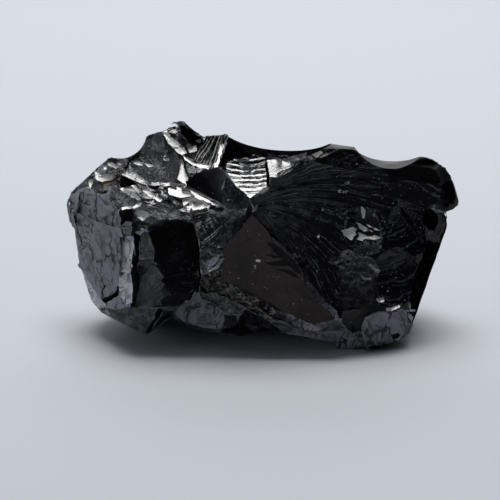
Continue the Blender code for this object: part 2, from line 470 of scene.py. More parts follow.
GLASSY = Relief(ripple_gap=2.6, ripple_height=0.02, rough_size=3.0, rough_height=0.03)
STILL = Relief(ripple_gap=2.8, ripple_height=0.004, rough_size=1.6, rough_height=0.02, pit_size=1.2, pit_depth=0.015)
FANNED = Relief(
    ripple_gap=5.2, ripple_height=0.03, hackle_lines=90.0, hackle_height=0.035, swirl=0.025,
    rough_size=3.4, rough_height=0.06, pit_size=1.3, pit_depth=0.02,
)
RIPPLED = Relief(ripple_gap=0.72, ripple_height=0.045, rough_size=2.0, rough_height=0.04, wander=0.12)
STRIATED = Relief(ripple_gap=3.0, ripple_height=0.02, hackle_lines=150.0, hackle_height=0.045, rough_height=0.03)
CRACKED = Relief(
    ripple_gap=2.2, ripple_height=0.03, hackle_lines=60.0, hackle_height=0.03, rough_size=1.6, rough_height=0.1,
    plate_size=0.8, plate_tilt=0.04, pit_size=0.9, pit_depth=0.08,
)
LAYERED = Relief(
    ripple_gap=2.4, ripple_height=0.03, rough_size=1.6, rough_height=0.08,
    plate_size=0.8, plate_tilt=0.2, pit_size=0.9, pit_depth=0.04,
)
CRUSHED = Relief(
    ripple_gap=1.7, ripple_height=0.03, rough_size=0.9, rough_height=0.12,
    plate_size=0.4, plate_tilt=0.35, pit_size=0.7, pit_depth=0.05,
)
PLATED = Relief(ripple_gap=2.0, ripple_height=0.01, rough_size=1.2, rough_height=0.03, plate_size=0.45, plate_tilt=0.16)
FINELINE = Relief(ripple_gap=3.0, ripple_height=0.004, hackle_lines=260.0, hackle_height=0.008, rough_size=4.0, rough_height=0.015)
FLECK = Relief(ripple_gap=2.0, ripple_height=0.005, rough_size=1.2, rough_height=0.02, plate_size=0.45, plate_tilt=0.07)
UNEVEN = Relief(
    ripple_gap=0.8, ripple_height=0.012, hackle_lines=120.0, hackle_height=0.02,
    rough_size=0.9, rough_height=0.05, plate_size=0.45, plate_tilt=0.07,
)
SHELL = Relief(ripple_gap=1.3, ripple_height=0.016, hackle_lines=120.0, hackle_height=0.012, rough_size=1.2, rough_height=0.03)
CORRUGATED = Relief(ripple_gap=0.9, ripple_height=0.1, rough_size=2.6, rough_height=0.1, wander=0.3)
FLAT = Relief(ripple_gap=6.0, ripple_height=0.01, rough_size=3.4, rough_height=0.02, pit_size=1.5, pit_depth=0.02)
OLD = Relief(
    ripple_gap=3.4, ripple_height=0.06, hackle_lines=70.0, hackle_height=0.05,
    rough_size=2.6, rough_height=0.14, pit_size=1.8, pit_depth=0.08,
)

RIM = (
    Scar("left_saddle", (-15.9, 11.1, 0.0), (-85, 51), 3.4, 3.0, Finish.GLASS, GLASSY, 2.5),
    Scar("peak_dip", (-7.3, 13.0, 4.0), (10, 78), 2.6, 2.4, Finish.BLACK, GLASSY, 3.0, 90.0),
    Scar("saddle", (2.6, 10.3, 3.0), (0, 80), 10.0, 8.0, Finish.BLACK, GLASSY, 1.6, 90.0),
    Scar("right_dip", (16.2, 9.2, 2.0), (0, 80), 5.5, 5.0, Finish.INK, GLASSY, 2.0, 90.0),
    Scar("right_flank", (21.2, -3.9, -0.2), (70, -14), 0.0, 7.4, Finish.BLACK, CORRUGATED, strike=(12.0, -2.0)),
    Scar("underside", (3.0, -11.7, 4.0), (-90, -79), 0.0, 6.6, Finish.GREY, OLD),
)

BACK = (
    Scar("back_end", (-17.6, 0.8, -6.8), (-138, 8), 24.0, 8.0, Finish.BACK, OLD, strike=(-20.0, 6.0)),
    Scar("back_peak", (-12.4, 8.2, -4.6), (-162, 42), 20.0, 7.5, Finish.BACK, GLASSY, strike=(-12.0, 14.0)),
    Scar("back_shell", (-0.5, 5.6, -8.6), (174, 40), 24.0, 9.0, Finish.BACK, OLD, 1.25, 20.0, strike=(-4.0, 12.5)),
    Scar("back_crest", (10.6, 7.4, -5.8), (156, 42), 16.0, 6.5, Finish.BACK, GLASSY, 1.3, strike=(12.0, 13.0)),
    Scar("back_nub", (20.4, 3.4, -4.8), (130, 22), 13.0, 5.6, Finish.BACK, GLASSY, strike=(22.0, 8.0)),
    Scar("back_face", (3.4, -2.0, -11.6), (176, -4), 36.0, 9.0, Finish.BACK, OLD, 1.35, -15.0, strike=(9.0, 5.0)),
    Scar("back_foot", (12.6, -7.0, -8.4), (152, -16), 26.0, 7.0, Finish.BACK, GLASSY, 1.3, -20.0, strike=(17.0, -2.0)),
    Scar("back_heel", (-8.6, -4.2, -10.0), (-168, -12), 26.0, 7.5, Finish.BACK, OLD, strike=(-13.0, 2.0)),
    Scar("back_chip", (14.6, 0.2, -8.8), (146, 6), 7.0, 3.4, Finish.BACK, GLASSY, 1.3, 40.0, strike=(17.0, 3.0)),
    Scar("back_low", (0.6, -9.0, -8.6), (-178, -30), 22.0, 6.0, Finish.BACK, GLASSY, 1.5, strike=(4.0, -4.0)),
)


def inside(spot: Spot, outline: tuple[Spot, ...]) -> bool:
    """Whether a spot lies within an outline."""
    x, y = spot
    crossed = False
    for (ax, ay), (bx, by) in zip(outline, outline[1:] + outline[:1], strict=True):
        if (ay > y) != (by > y) and x < ax + (y - ay) * (bx - ax) / (by - ay):
            crossed = not crossed
    return crossed


def from_sketch(across: float, down: float) -> Spot:
    """A point of the sketch, in squares across and down, as millimetres across and up in the layout."""
    return (across - SKETCH_ZERO[0]) * SKETCH_SQUARE, (SKETCH_ZERO[1] - down) * SKETCH_SQUARE


def sketched(corners: str) -> tuple[Spot, ...]:
    """An outline whose corners are given in squares of the sketch, as "across,down" pairs."""
    pairs = [corner.split(",") for corner in corners.split()]
    return tuple(from_sketch(float(across), float(down)) for across, down in pairs)


@dataclass(frozen=True)
class Facet:
    """A broken face that is given by its outline, as it is seen from the camera.

    Its corners are seen against the plane that stands level with the layout's zero
    point. Its bed goes in just below the surface that it finds there.
    """

    name: str
    facing: tuple[float, float]
    dish: float
    finish: Finish
    relief: Relief
    outline: tuple[Spot, ...]
    depth: float = 0.13  # how far the bed lies under the surface there
    strike: Spot | None = None  # where the blow fell, in squares of the sketch
    grain: float = 0.22
    low_share: float = 0.12  # the share of the surface that may lie lower than the bed

    def _samples(self) -> list[Spot]:
        """Spots spread over the outline."""
        xs, ys = [x for x, _ in self.outline], [y for _, y in self.outline]
        steps = [(i + 0.5) / 12 for i in range(12)]
        spots = [(min(xs) + a * (max(xs) - min(xs)), min(ys) + b * (max(ys) - min(ys))) for a in steps for b in steps]
        middle = (sum(xs) / len(xs), sum(ys) / len(ys))
        return [spot for spot in spots if inside(spot, self.outline)] or [middle]

    def settle(self, skin: BVHTree) -> Scar:
        """Find the facet's place on the stone.

        Args:
            skin: The surface of the stone so far.

        Returns:
            The scar.
        """
        eye = Layout.place(EYE)
        if abs(self.facing[0]) > 90.0:
            eye.y = -eye.y
        out = Layout.facing(*self.facing)
        found = [skin.ray_cast(eye, Layout.place((x, y, 0.0)) - eye)[0] for x, y in self._samples()]
        hits = [hit for hit in found if hit is not None]
        if not hits:
            raise ValueError(f"facet {self.name} misses the stone")
        middle = sum(hits, Vector()) / len(hits)
        curve = 1.0 / self.dish if self.dish else 0.0
        heights = []
        for hit in hits:
            rise = out.dot(hit - middle)
            far = (hit - middle - out * rise).length_squared
            heights.append(rise - curve * far / (1.0 + math.sqrt(max(0.02, 1.0 - curve * curve * far))))
        level = sorted(heights)[int(self.low_share * (len(heights) - 1))] - self.depth
        bed = middle + out * level
        plain = Scar(
            self.name, (bed.x, bed.z, -bed.y), self.facing, self.dish, 1.0, self.finish, self.relief,
            strike=from_sketch(*self.strike) if self.strike else None, sink=0.0, grain=self.grain,
        )
        inverse = plain.matrix.inverted()
        corners = []
        for x, y in self.outline:
            ray = Layout.place((x, y, 0.0)) - eye
            corner = inverse @ (eye + ray * (out.dot(bed - eye) / out.dot(ray)))
            corners.append((corner.x, corner.y))
        reach = max(math.hypot(x, y) for x, y in corners)
        return replace(plain, reach=reach, outline=tuple(corners), seen=self.outline, eye=tuple(inverse @ eye))


FACETS = (
    Facet("end_brow", (-54, 14), 0, Finish.DUSTY, CRACKED, sketched(
        "69,198 70,190 79,188 80,192 78,198 80,203 74,212 70,213"
    ), depth=0.03, strike=(60, 300), low_share=0.3),
    Facet("end_upper", (-48, 8), 0, Finish.DUSTY, CRACKED, sketched(
        "78,188 92,189 97,193 106,196 112,202 117,210 121,219 121,228 110,226 100,222 88,217 76,212 "
        "80,203 78,198 80,192"
    ), depth=0.08, strike=(60, 330), low_share=0.15),
    Facet("end_face", (-51, -3), -90, Finish.DUSTY, CRACKED, sketched(
        "76,212 88,217 100,222 110,226 121,228 121,253 118,271 118,284 117,290 112,293 108,297 101,299 "
        "92,286 82,268 80,262 83,252 78,236 71,216"
    ), depth=0.08, strike=(60, 330), low_share=0.2),
    Facet("end_light", (-47, 6), 0, Finish.PALE, CRACKED, sketched(
        "119,237 133,236 135,250 134,263 130,273 119,272 121,253"
    ), strike=(60, 330)),
    Facet("end_light_low", (-42, 8), 0, Finish.PALE, CRACKED, sketched(
        "119,272 130,272 132,281 133,290 132,303 125,305 120,297 118,284"
    ), strike=(100, 100)),
    Facet("end_sliver", (-56, 0), 0, Finish.PALE, GLASSY, sketched(
        "74,262 80,268 92,286 101,299 107,308 98,308 90,301 84,286"
    ), strike=(60, 100)),
    Facet("end_chip", (-42, 4), 0, Finish.GREY, STILL, sketched(
        "121,224 126,221 132,222 133,236 123,237 121,230"
    )),
    # toe_face, toe_side and under_lip look down. Their dull grey is lighter partly as a painted reflection of the
    # floor.
    Facet("toe_face", (-20, -26), 0, Finish.DULL, OLD, sketched(
        "98,306 107,308 115,310 126,307 138,308 150,309 159,309 153,320 146,331 143,337 125,328 108,319 "
        "96,312"
    ), strike=(120, 200)),
    Facet("toe_band", (30, -24), 0, Finish.INK, STILL, sketched(
        "159,308 163,309 160,316 153,326 148,337 143,335 152,320"
    ), depth=0.2),
    Facet("toe_side", (46, -42), 0, Finish.DULL, STILL, sketched(
        "162,309 173,311 176,315 166,319 158,326 150,338 148,334 154,325 161,316"
    )),
    Facet("under_lip", (4, -30), 0, Finish.DULL, STILL, sketched(
        "138,306 160,307 176,306 188,305 190,309 182,313 173,312 162,310 150,310 138,309"
    )),
    Facet("leaf_top", (-24, -2), 0, Finish.DULL, STILL, sketched(
        "141,235 145,231 149,233 152,243 155,250 153,260 141,258 139,245"
    )),
    Facet("leaf_low", (-20, 0), 0, Finish.HACKLE, STRIATED, sketched(
        "138,260 153,259 150,267 146,273 140,276 136,268"
    ), strike=(134, 300)),
    Facet("hackle_fan", (-14, -10), 30, Finish.HACKLE, STRIATED, sketched(
        "140,277 146,272 152,264 160,265 162,272 165,276 161,281 165,284 161,290 164,297 160,300 "
        "163,306 138,308 135,302 139,287"
    ), strike=(135, 306)),
    Facet("dark_hollow", (6, 9), 0, Finish.SMOOTH, FINELINE, sketched(
        "148,232 158,228 168,222 180,220 193,222 195,230 198,238 200,248 199,262 201,276 199,292 "
        "188,303 178,307 161,308 164,297 161,290 165,284 161,281 165,276 162,272 160,265 153,261 "
        "155,250 152,243"
    ), strike=(110, 286), grain=0.24),
    Facet("groove", (30, -4), 0, Finish.SMOOTH, GLASSY, sketched(
        "132,230 136,233 141,236 139,246 139,260 136,267 133,266 135,250 133,237"
    ), depth=0.25),
    Facet("groove_low", (24, -8), 0, Finish.INK, GLASSY, sketched(
        "130,268 134,265 136,268 140,277 139,287 135,302 132,300 133,290 132,281"
    ), depth=0.4),
    Facet("slope_upper", (-32, 24), 22, Finish.SLATE, STILL, sketched(
        "140,152 143,143 147,137 154,134 161,130 163,136 167,143 172,150 168,153 155,153 146,157 "
        "140,155"
    ), depth=0.06, low_share=0.2),
    Facet("slope_main", (-28, 29), 22, Finish.SLATE, STILL, sketched(
        "131,166 134,158 140,155 146,157 155,153 168,153 175,152 180,157 181,165 178,174 176,182 "
        "170,183 160,183 147,181 140,176 134,171"
    ), low_share=0.08),
    Facet("ridge_band", (-18, 40), 0, Finish.PAINTED_STREAKS, FLECK, sketched(
        "121,171 127,171 134,175 141,179 147,181 160,183 172,182 186,184 185,188 172,186 160,186 "
        "148,185 140,183 131,179 122,175"
    ), depth=0.12),
    Facet("ridge_left", (-20, 41), 0, Finish.SLATE, FLECK, sketched(
        "129,160 134,158 131,166 134,171 140,176 147,181 141,179 134,175 127,171 121,171 126,166"
    )),
    Facet("cap_top", (-30, 33), 0, Finish.SLATE, LAYERED, sketched(
        "96,170 103,159 122,158 132,157 129,160 126,166 121,171 110,171 101,171"
    ), depth=0.08),
    Facet("cap_middle", (-12, 43), 0, Finish.PAINTED_STREAKS, FLECK, sketched(
        "92,178 96,170 101,171 110,171 121,171 121,176 116,180 108,183 100,181"
    ), strike=(80, 150)),
    Facet("cap_lower", (-26, 26), 0, Finish.SLATE, LAYERED, sketched(
        "85,181 92,178 100,181 108,183 116,180 120,181 120,187 110,190 104,194 97,193 92,189 84,188"
    )),
    Facet("cap_edge", (-40, 22), 0, Finish.SLATE, GLASSY, sketched(
        "68,189 84,178 94,176 92,180 88,187 80,189"
    ), depth=0.08),
    Facet("neck", (-24, 28), 26, Finish.SLATE, STILL, sketched(
        "104,194 110,190 120,187 128,194 137,200 141,203 132,207 121,208 118,211 112,202 106,196"
    )),
    Facet("notch", (14, 0), 0, Finish.INK, GLASSY, sketched(
        "121,175 131,179 137,184 130,186 126,187 121,188 119,182"
    ), depth=0.4),
    Facet("ledge_mix", (-10, 34), 0, Finish.SLATE, LAYERED, sketched(
        "118,188 126,187 137,184 148,185 160,186 166,187 168,196 172,202 160,202 150,206 141,203 "
        "137,200 128,194"
    ), depth=0.1, strike=(100, 150)),
    Facet("shelf", (-14, 26), 16, Finish.SLATE, STILL, sketched(
        "141,203 150,206 160,202 172,202 177,206 180,211 192,213 195,221 182,220 168,219 158,220 "
        "150,216 148,208"
    )),
    Facet("under_spot", (-24, 8), 10, Finish.GREY, LAYERED, sketched(
        "132,210 141,204 148,208 150,216 158,220 150,226 141,231 135,233 132,226 134,217"
    )),
    Facet("dark_gap", (6, -6), 0, Finish.INK, GLASSY, sketched(
        "119,209 128,208 133,208 134,216 132,222 126,221 121,226 119,219"
    ), depth=0.5),
    Facet("white_field", (-6, 42), 0, Finish.PAINTED_STREAKS, STRIATED, sketched(
        "166,189 172,187 180,187 188,190 194,195 186,197 178,197 170,195"
    ), strike=(120, 185)),
    Facet("white_under", (-6, 41), 0, Finish.PAINTED_STREAKS, STRIATED, sketched(
        "182,199 190,197 200,199 197,204 190,208 184,207"
    ), strike=(220, 185)),
    Facet("field_dark", (-4, 20), 0, Finish.GREY, LAYERED, sketched(
        "168,196 178,198 182,200 184,207 178,210 173,206 171,201"
    )),
    Facet("white_shelf", (-2, 42), 0, Finish.PAINTED_STREAKS, STRIATED, sketched(
        "188,188 196,191 206,196 214,200 221,204 218,206 209,204 202,201 195,197"
    ), depth=0.14, strike=(170, 180)),
    Facet("white_low", (-2, 42), 0, Finish.PAINTED_STREAKS, CRUSHED, sketched(
        "176,211 184,205 190,201 201,200 212,204 208,208 196,210 190,212 182,213"
    ), strike=(170, 180)),
    Facet("lens_left", (-18, 4), 9, Finish.SMOOTH, FINELINE, sketched(
        "187,181 192,177 198,173 208,167 222,170 228,177 222,186 222,196 224,205 214,199 206,195 "
        "196,190 188,186"
    ), strike=(170, 150), grain=0.2, low_share=0.05),
    Facet("lens_right", (-14, 14), 9, Finish.SLATE, FINELINE, sketched(
        "228,177 236,187 244,192 250,199 248,208 238,211 228,209 222,204 222,196 222,186"
    ), strike=(170, 150), grain=0.2, low_share=0.05),
    Facet("peak_left", (-8, 32), 0, Finish.COMB, LAYERED, sketched(
        "161,130 168,125 174,123 178,126 181,132 182,140 177,141 173,135 168,131 163,134"
    ), depth=0.05, strike=(229, 112), low_share=0.2),
    Facet("peak_right", (16, 32), 14, Finish.INK, STRIATED, sketched(
        "178,126 184,127 192,132 200,138 205,139 203,143 199,148 192,147 186,153 184,148 180,142 "
        "182,140 181,132"
    ), depth=0.05, strike=(229, 112), low_share=0.25),
    Facet("bowl", (-2, 20), 14, Finish.COMB, STRIATED, sketched(
        "203,143 207,137 219,135 226,136 222,142 219,150 216,160 212,169 208,168 198,163 188,158 "
        "186,153 192,147 199,148"
    ), depth=0.05, strike=(229, 112), grain=0.17, low_share=0.2),
    Facet("bowl_bright", (-3, 40), 0, Finish.PAINTED_STREAKS, STRIATED, sketched(
        "222,138 226,137 225,144 221,155 218,167 213,168 217,158 219,149"
    ), depth=0.1, strike=(229, 112), grain=0.17),
    Facet("bowl_floor", (-2, 42), 0, Finish.PAINTED_STREAKS, STRIATED, sketched(
        "183,155 192,159 202,163 209,165 209,169 200,168 191,164 185,160"
    ), strike=(150, 140), grain=0.17),
    Facet("bowl_toe", (-14, 28), 0, Finish.SLATE, LAYERED, sketched(
        "186,160 191,164 200,168 208,168 198,173 192,177 188,172 186,166"
    )),
    Facet("saddle_dark", (14, 26), 14, Finish.BLACK, STRIATED, sketched(
        "228,136 238,142 250,150 263,153 256,153 249,158 236,158 228,162 222,168 219,166 222,156 "
        "226,146"
    ), depth=0.05, strike=(229, 112), low_share=0.2),
    Facet("ripples", (-1, 30), 12, Finish.RIPPLE_PAINTED_ARCS, RIPPLED, sketched(
        "222,169 228,162 236,158 249,158 256,151 264,152 266,160 266,172 267,188 258,194 249,200 "
        "243,193 236,187 228,178"
    ), strike=(243, 60), grain=0.16),
    Facet("crack", (40, 0), 0, Finish.INK, GLASSY, sketched(
        "265,155 267,155 267,160 269,172 270,186 267,188 266,172"
    ), depth=0.4),
    Facet("white_block", (2, 43), 0, Finish.PAINTED_STREAKS, FLECK, sketched(
        "267,160 272,158 282,161 293,163 294,166 284,170 277,173 277,177 269,177"
    ), depth=0.2, grain=0.18),
    Facet("block_top", (6, 30), 0, Finish.INK, LAYERED, sketched(
        "268,154 282,154 288,154 288,157 283,160 275,159 267,160"
    ), depth=0.04, low_share=0.2),
    Facet("slate_top", (2, 30), 16, Finish.SLATE, STILL, sketched(
        "290,154 300,153 307,153 306,157 298,161 288,163 279,160 284,157"
    ), depth=0.04, low_share=0.2),
    Facet("crest", (14, 26), 10, Finish.HACKLE, LAYERED, sketched(
        "309,153 316,151 330,149 337,149 333,153 324,157 316,160 307,162 307,156"
    ), depth=0.04, strike=(250, 208), low_share=0.2),
    Facet("crest_dark", (20, 10), 10, Finish.INK, LAYERED, sketched(
        "338,149 352,149 362,153 370,161 372,164 350,170 330,166 320,162 324,157 334,152"
    ), depth=0.04, strike=(250, 208), low_share=0.2),
    Facet("fan_top", (14, -2), 40, Finish.FAN, FANNED, sketched(
        "277,177 284,170 294,166 300,160 310,161 330,166 350,170 372,164 372,160 380,162 396,164 "
        "396,180 380,186 350,184 320,184 290,188 268,193 267,188 270,178"
    ), strike=(250, 208)),
    Facet("fan_far", (24, 0), 60, Finish.INK, FANNED, sketched(
        "396,164 410,160 422,160 432,168 440,178 440,184 424,184 408,180 396,182"
    ), strike=(300, 196)),
    Facet("fan_tail", (22, 2), 60, Finish.FAN, FANNED, sketched(
        "380,186 396,182 408,180 424,184 440,184 444,196 438,204 424,206 408,202 396,198 380,196"
    ), strike=(250, 196)),
    Facet("fan_upper", (16, 2), 60, Finish.FAN, FANNED, sketched(
        "249,200 258,194 268,193 290,188 320,184 350,184 380,186 380,196 396,198 396,206 380,210 "
        "368,208 350,206 330,208 300,206 270,205 252,208"
    ), strike=(250, 208)),
    Facet("fan_middle", (15, 5), 60, Finish.FAN, FANNED, sketched(
        "252,208 270,205 300,206 330,208 340,212 344,222 342,236 346,246 340,256 328,262 318,252 "
        "300,236 280,222 262,214"
    ), strike=(250, 208)),
    Facet("fan_low", (12, 6), 60, Finish.FAN, FANNED, sketched(
        "251,210 262,214 280,222 300,236 318,252 328,262 342,276 340,292 334,300 322,299 316,290 "
        "310,280 306,270 300,259 292,251 281,241 270,232 262,224"
    ), strike=(250, 206)),
    Facet("pit_field", (15, 8), 14, Finish.MOTTLE, UNEVEN, sketched(
        "334,210 350,208 368,209 378,212 386,222 387,238 380,246 366,250 354,247 347,246 343,236 "
        "344,222 338,214"
    ), strike=(355, 180)),
    Facet("lower_field", (10, 0), 20, Finish.GREY, UNEVEN, sketched(
        "328,262 340,256 346,246 354,247 366,250 374,258 380,270 376,282 378,292 370,304 352,306 "
        "340,306 334,300 340,292 342,276"
    ), strike=(250, 206)),
    Facet("shell_right", (20, 2), 12, Finish.RINGED, SHELL, sketched(
        "366,250 380,246 390,244 400,248 412,256 418,268 414,284 410,298 402,306 392,307 380,306 "
        "372,304 378,292 376,282 380,270 374,258"
    ), strike=(384, 236)),
    Facet("shell_upper", (22, 2), 14, Finish.RINGED, SHELL, sketched(
        "380,210 396,206 408,208 418,218 424,230 426,244 422,256 412,256 400,248 390,244 384,238 "
        "388,222"
    ), strike=(384, 204)),
    Facet("right_shoulder", (34, 8), 20, Finish.FAN, SHELL, sketched(
        "396,198 408,202 424,206 426,212 422,220 424,230 418,218 408,208 396,206"
    ), strike=(380, 206)),
    Facet("nub_top", (22, 32), 9, Finish.INK, OLD, sketched(
        "412,166 418,161 430,160 440,164 448,171 450,178 444,172 434,170 424,169 416,168"
    ), depth=0.05, low_share=0.3),
    Facet("nub_dark", (44, 4), 9, Finish.BLACK, GLASSY, sketched(
        "441,180 445,174 450,178 453,188 455,198 452,205 447,206 447,200 442,192"
    ), depth=0.04, low_share=0.3),
    Facet("nub_grey", (36, 16), 10, Finish.SLATE, GLASSY, sketched(
        "440,190 446,196 449,204 446,211 440,214 434,208 438,202"
    )),
    Facet("right_hollow", (34, -4), 4, Finish.BLACK, GLASSY, sketched(
        "424,210 430,209 436,214 438,224 434,231 428,230 422,222"
    ), depth=0.3),
    Facet("right_patch", (34, 4), 0, Finish.DULL, UNEVEN, sketched(
        "438,212 446,214 446,224 444,232 441,242 434,243 429,240 428,231 434,231 438,224"
    )),
    Facet("pit_dark", (8, 2), 5, Finish.INK, STILL, sketched(
        "350,215 358,210 368,210 378,217 383,225 382,234 374,241 360,242 349,239 345,232 346,222"
    ), depth=0.3, grain=0.18),
    Facet("right_strip", (44, -6), 30, Finish.BLACK, GLASSY, sketched(
        "428,243 446,240 442,256 434,276 428,292 424,306 412,308 408,300 412,284 417,268 423,256 "
        "426,244"
    )),
    Facet("foot_main", (14, -18), 20, Finish.DUSTY, CRACKED, sketched(
        "364,318 374,313 390,312 402,311 412,316 411,324 408,332 402,338 392,342 380,346 368,344 "
        "362,336 361,326"
    ), strike=(330, 360)),
    Facet("foot_side", (44, -16), 20, Finish.BLACK, OLD, sketched(
        "402,310 424,306 426,318 420,330 408,342 398,350 388,354 372,352 380,346 392,342 402,338 "
        "408,332 411,324 412,316"
    )),
    Facet("foot_lap", (30, 6), 0, Finish.PALE, STRIATED, sketched(
        "396,310 410,309 420,311 419,319 412,322 408,316 400,313"
    ), strike=(380, 300)),
    Facet("foot_hollow", (8, -8), 8, Finish.SMOOTH, GLASSY, sketched(
        "342,311 356,309 368,310 376,312 366,316 361,326 362,338 356,336 348,330 342,322"
    )),
    Facet("foot_band", (14, -4), 0, Finish.INK, OLD, sketched(
        "340,304 352,306 370,304 386,307 394,311 376,312 356,309 342,311"
    )),
    # The brown tint of this face is a painted reflection of something brown mirrored in it.
    Facet("brown_face", (2, -7), 80, Finish.BROWN, FLAT, sketched(
        "246,221 252,214 258,219 265,228 272,236 281,245 290,253 297,261 302,271 305,283 311,297 "
        "320,304 330,312 336,320 342,324 344,330 330,332 322,330 310,323 300,319 284,313 274,306 "
        "258,299 240,289 230,283 221,278 219,270 225,258 222,250 232,238 240,230"
    ), strike=(180, 220)),
    Facet("bevel", (-4, 14), 0, Finish.DUSTY, LAYERED, sketched(
        "252,212 262,223 270,232 281,241 292,251 300,259 306,270 310,282 318,292 326,302 336,310 "
        "341,322 336,321 330,312 320,304 311,297 305,283 302,271 297,261 290,253 281,245 272,236 "
        "265,228 258,219"
    )),
    Facet("smooth_corner", (-4, 6), 0, Finish.SLATE, STRIATED, sketched(
        "222,250 218,240 226,228 236,220 246,215 247,221 240,230 232,238"
    ), strike=(262, 160)),
    Facet("rough_corner", (-8, 10), 14, Finish.ROUGH, STRIATED, sketched(
        "195,212 208,208 214,204 224,205 238,211 248,208 246,215 236,220 226,228 218,240 222,250 "
        "214,248 206,242 200,236 196,228"
    ), strike=(254, 200), grain=0.18),
    Facet("vein_thin", (-16, 8), 0, Finish.VEIN, LAYERED, sketched(
        "190,205 193,212 196,220 196,228 200,235 205,241 202,242 196,236 193,230 193,221 190,212"
    ), depth=0.2),
    Facet("crust_top", (-10, 4), 10, Finish.GREY, LAYERED, sketched(
        "200,236 206,242 214,248 222,250 225,257 219,268 219,278 208,277 201,276 199,262 200,248"
    ), strike=(160, 230)),
    Facet("crust", (-12, -12), 0, Finish.VEIN, LAYERED, sketched(
        "201,276 208,277 221,278 230,283 240,291 250,301 262,310 272,318 284,322 292,332 282,331 "
        "270,323 258,315 248,309 240,304 228,298 214,293 199,292"
    ), strike=(20, 196), grain=0.2),
    Facet("step", (6, -8), 0, Finish.GREY, LAYERED, sketched(
        "230,284 240,289 258,299 272,306 277,313 284,322 272,317 262,309 250,300 240,291"
    ), depth=0.2, strike=(20, 196)),
    Facet("slip", (-6, -12), 0, Finish.DUSTY, STILL, sketched(
        "273,308 284,313 300,319 312,324 324,331 310,333 296,328 284,321 277,314"
    )),
    # The belly and base faces look down. Their dusty and dull greys are lighter partly as a painted reflection of the
    # floor.
    Facet("belly_face", (-14, -12), 14, Finish.DUSTY, STILL, sketched(
        "178,308 190,305 202,299 214,303 223,311 225,319 222,327 214,333 200,334 186,328 176,318"
    )),
    Facet("belly_dark", (-8, -14), 0, Finish.DULL, LAYERED, sketched(
        "199,292 214,293 228,298 240,304 246,309 240,316 232,316 224,312 214,303 202,299"
    )),
    Facet("belly_hole", (0, -20), 0, Finish.INK, OLD, sketched(
        "224,315 236,315 238,323 232,327 223,327"
    ), depth=0.3),
    Facet("belly_right", (-8, -26), 0, Finish.DULL, OLD, sketched(
        "240,316 246,309 258,315 270,323 282,331 276,335 250,334 222,334 222,328 232,327 238,323"
    )),
    Facet("base_strip", (-4, -40), 20, Finish.DUSTY, STILL, sketched(
        "282,331 296,328 310,333 324,331 344,332 358,340 366,346 376,354 350,356 330,350 306,342 "
        "286,338"
    )),
    Facet("rim_notch", (-78, -6), 0, Finish.DUSTY, CRACKED, sketched(
        "56,222 70,222 74,228 77,238 81,246 83,254 80,264 56,266"
    ), depth=0.3, low_share=0.5),
    Facet("nub_under", (10, 0), 0, Finish.INK, OLD, sketched(
        "446,212 451,210 457,206 463,203 472,206 468,222 449,222"
    ), depth=9.0, low_share=0.5),
)

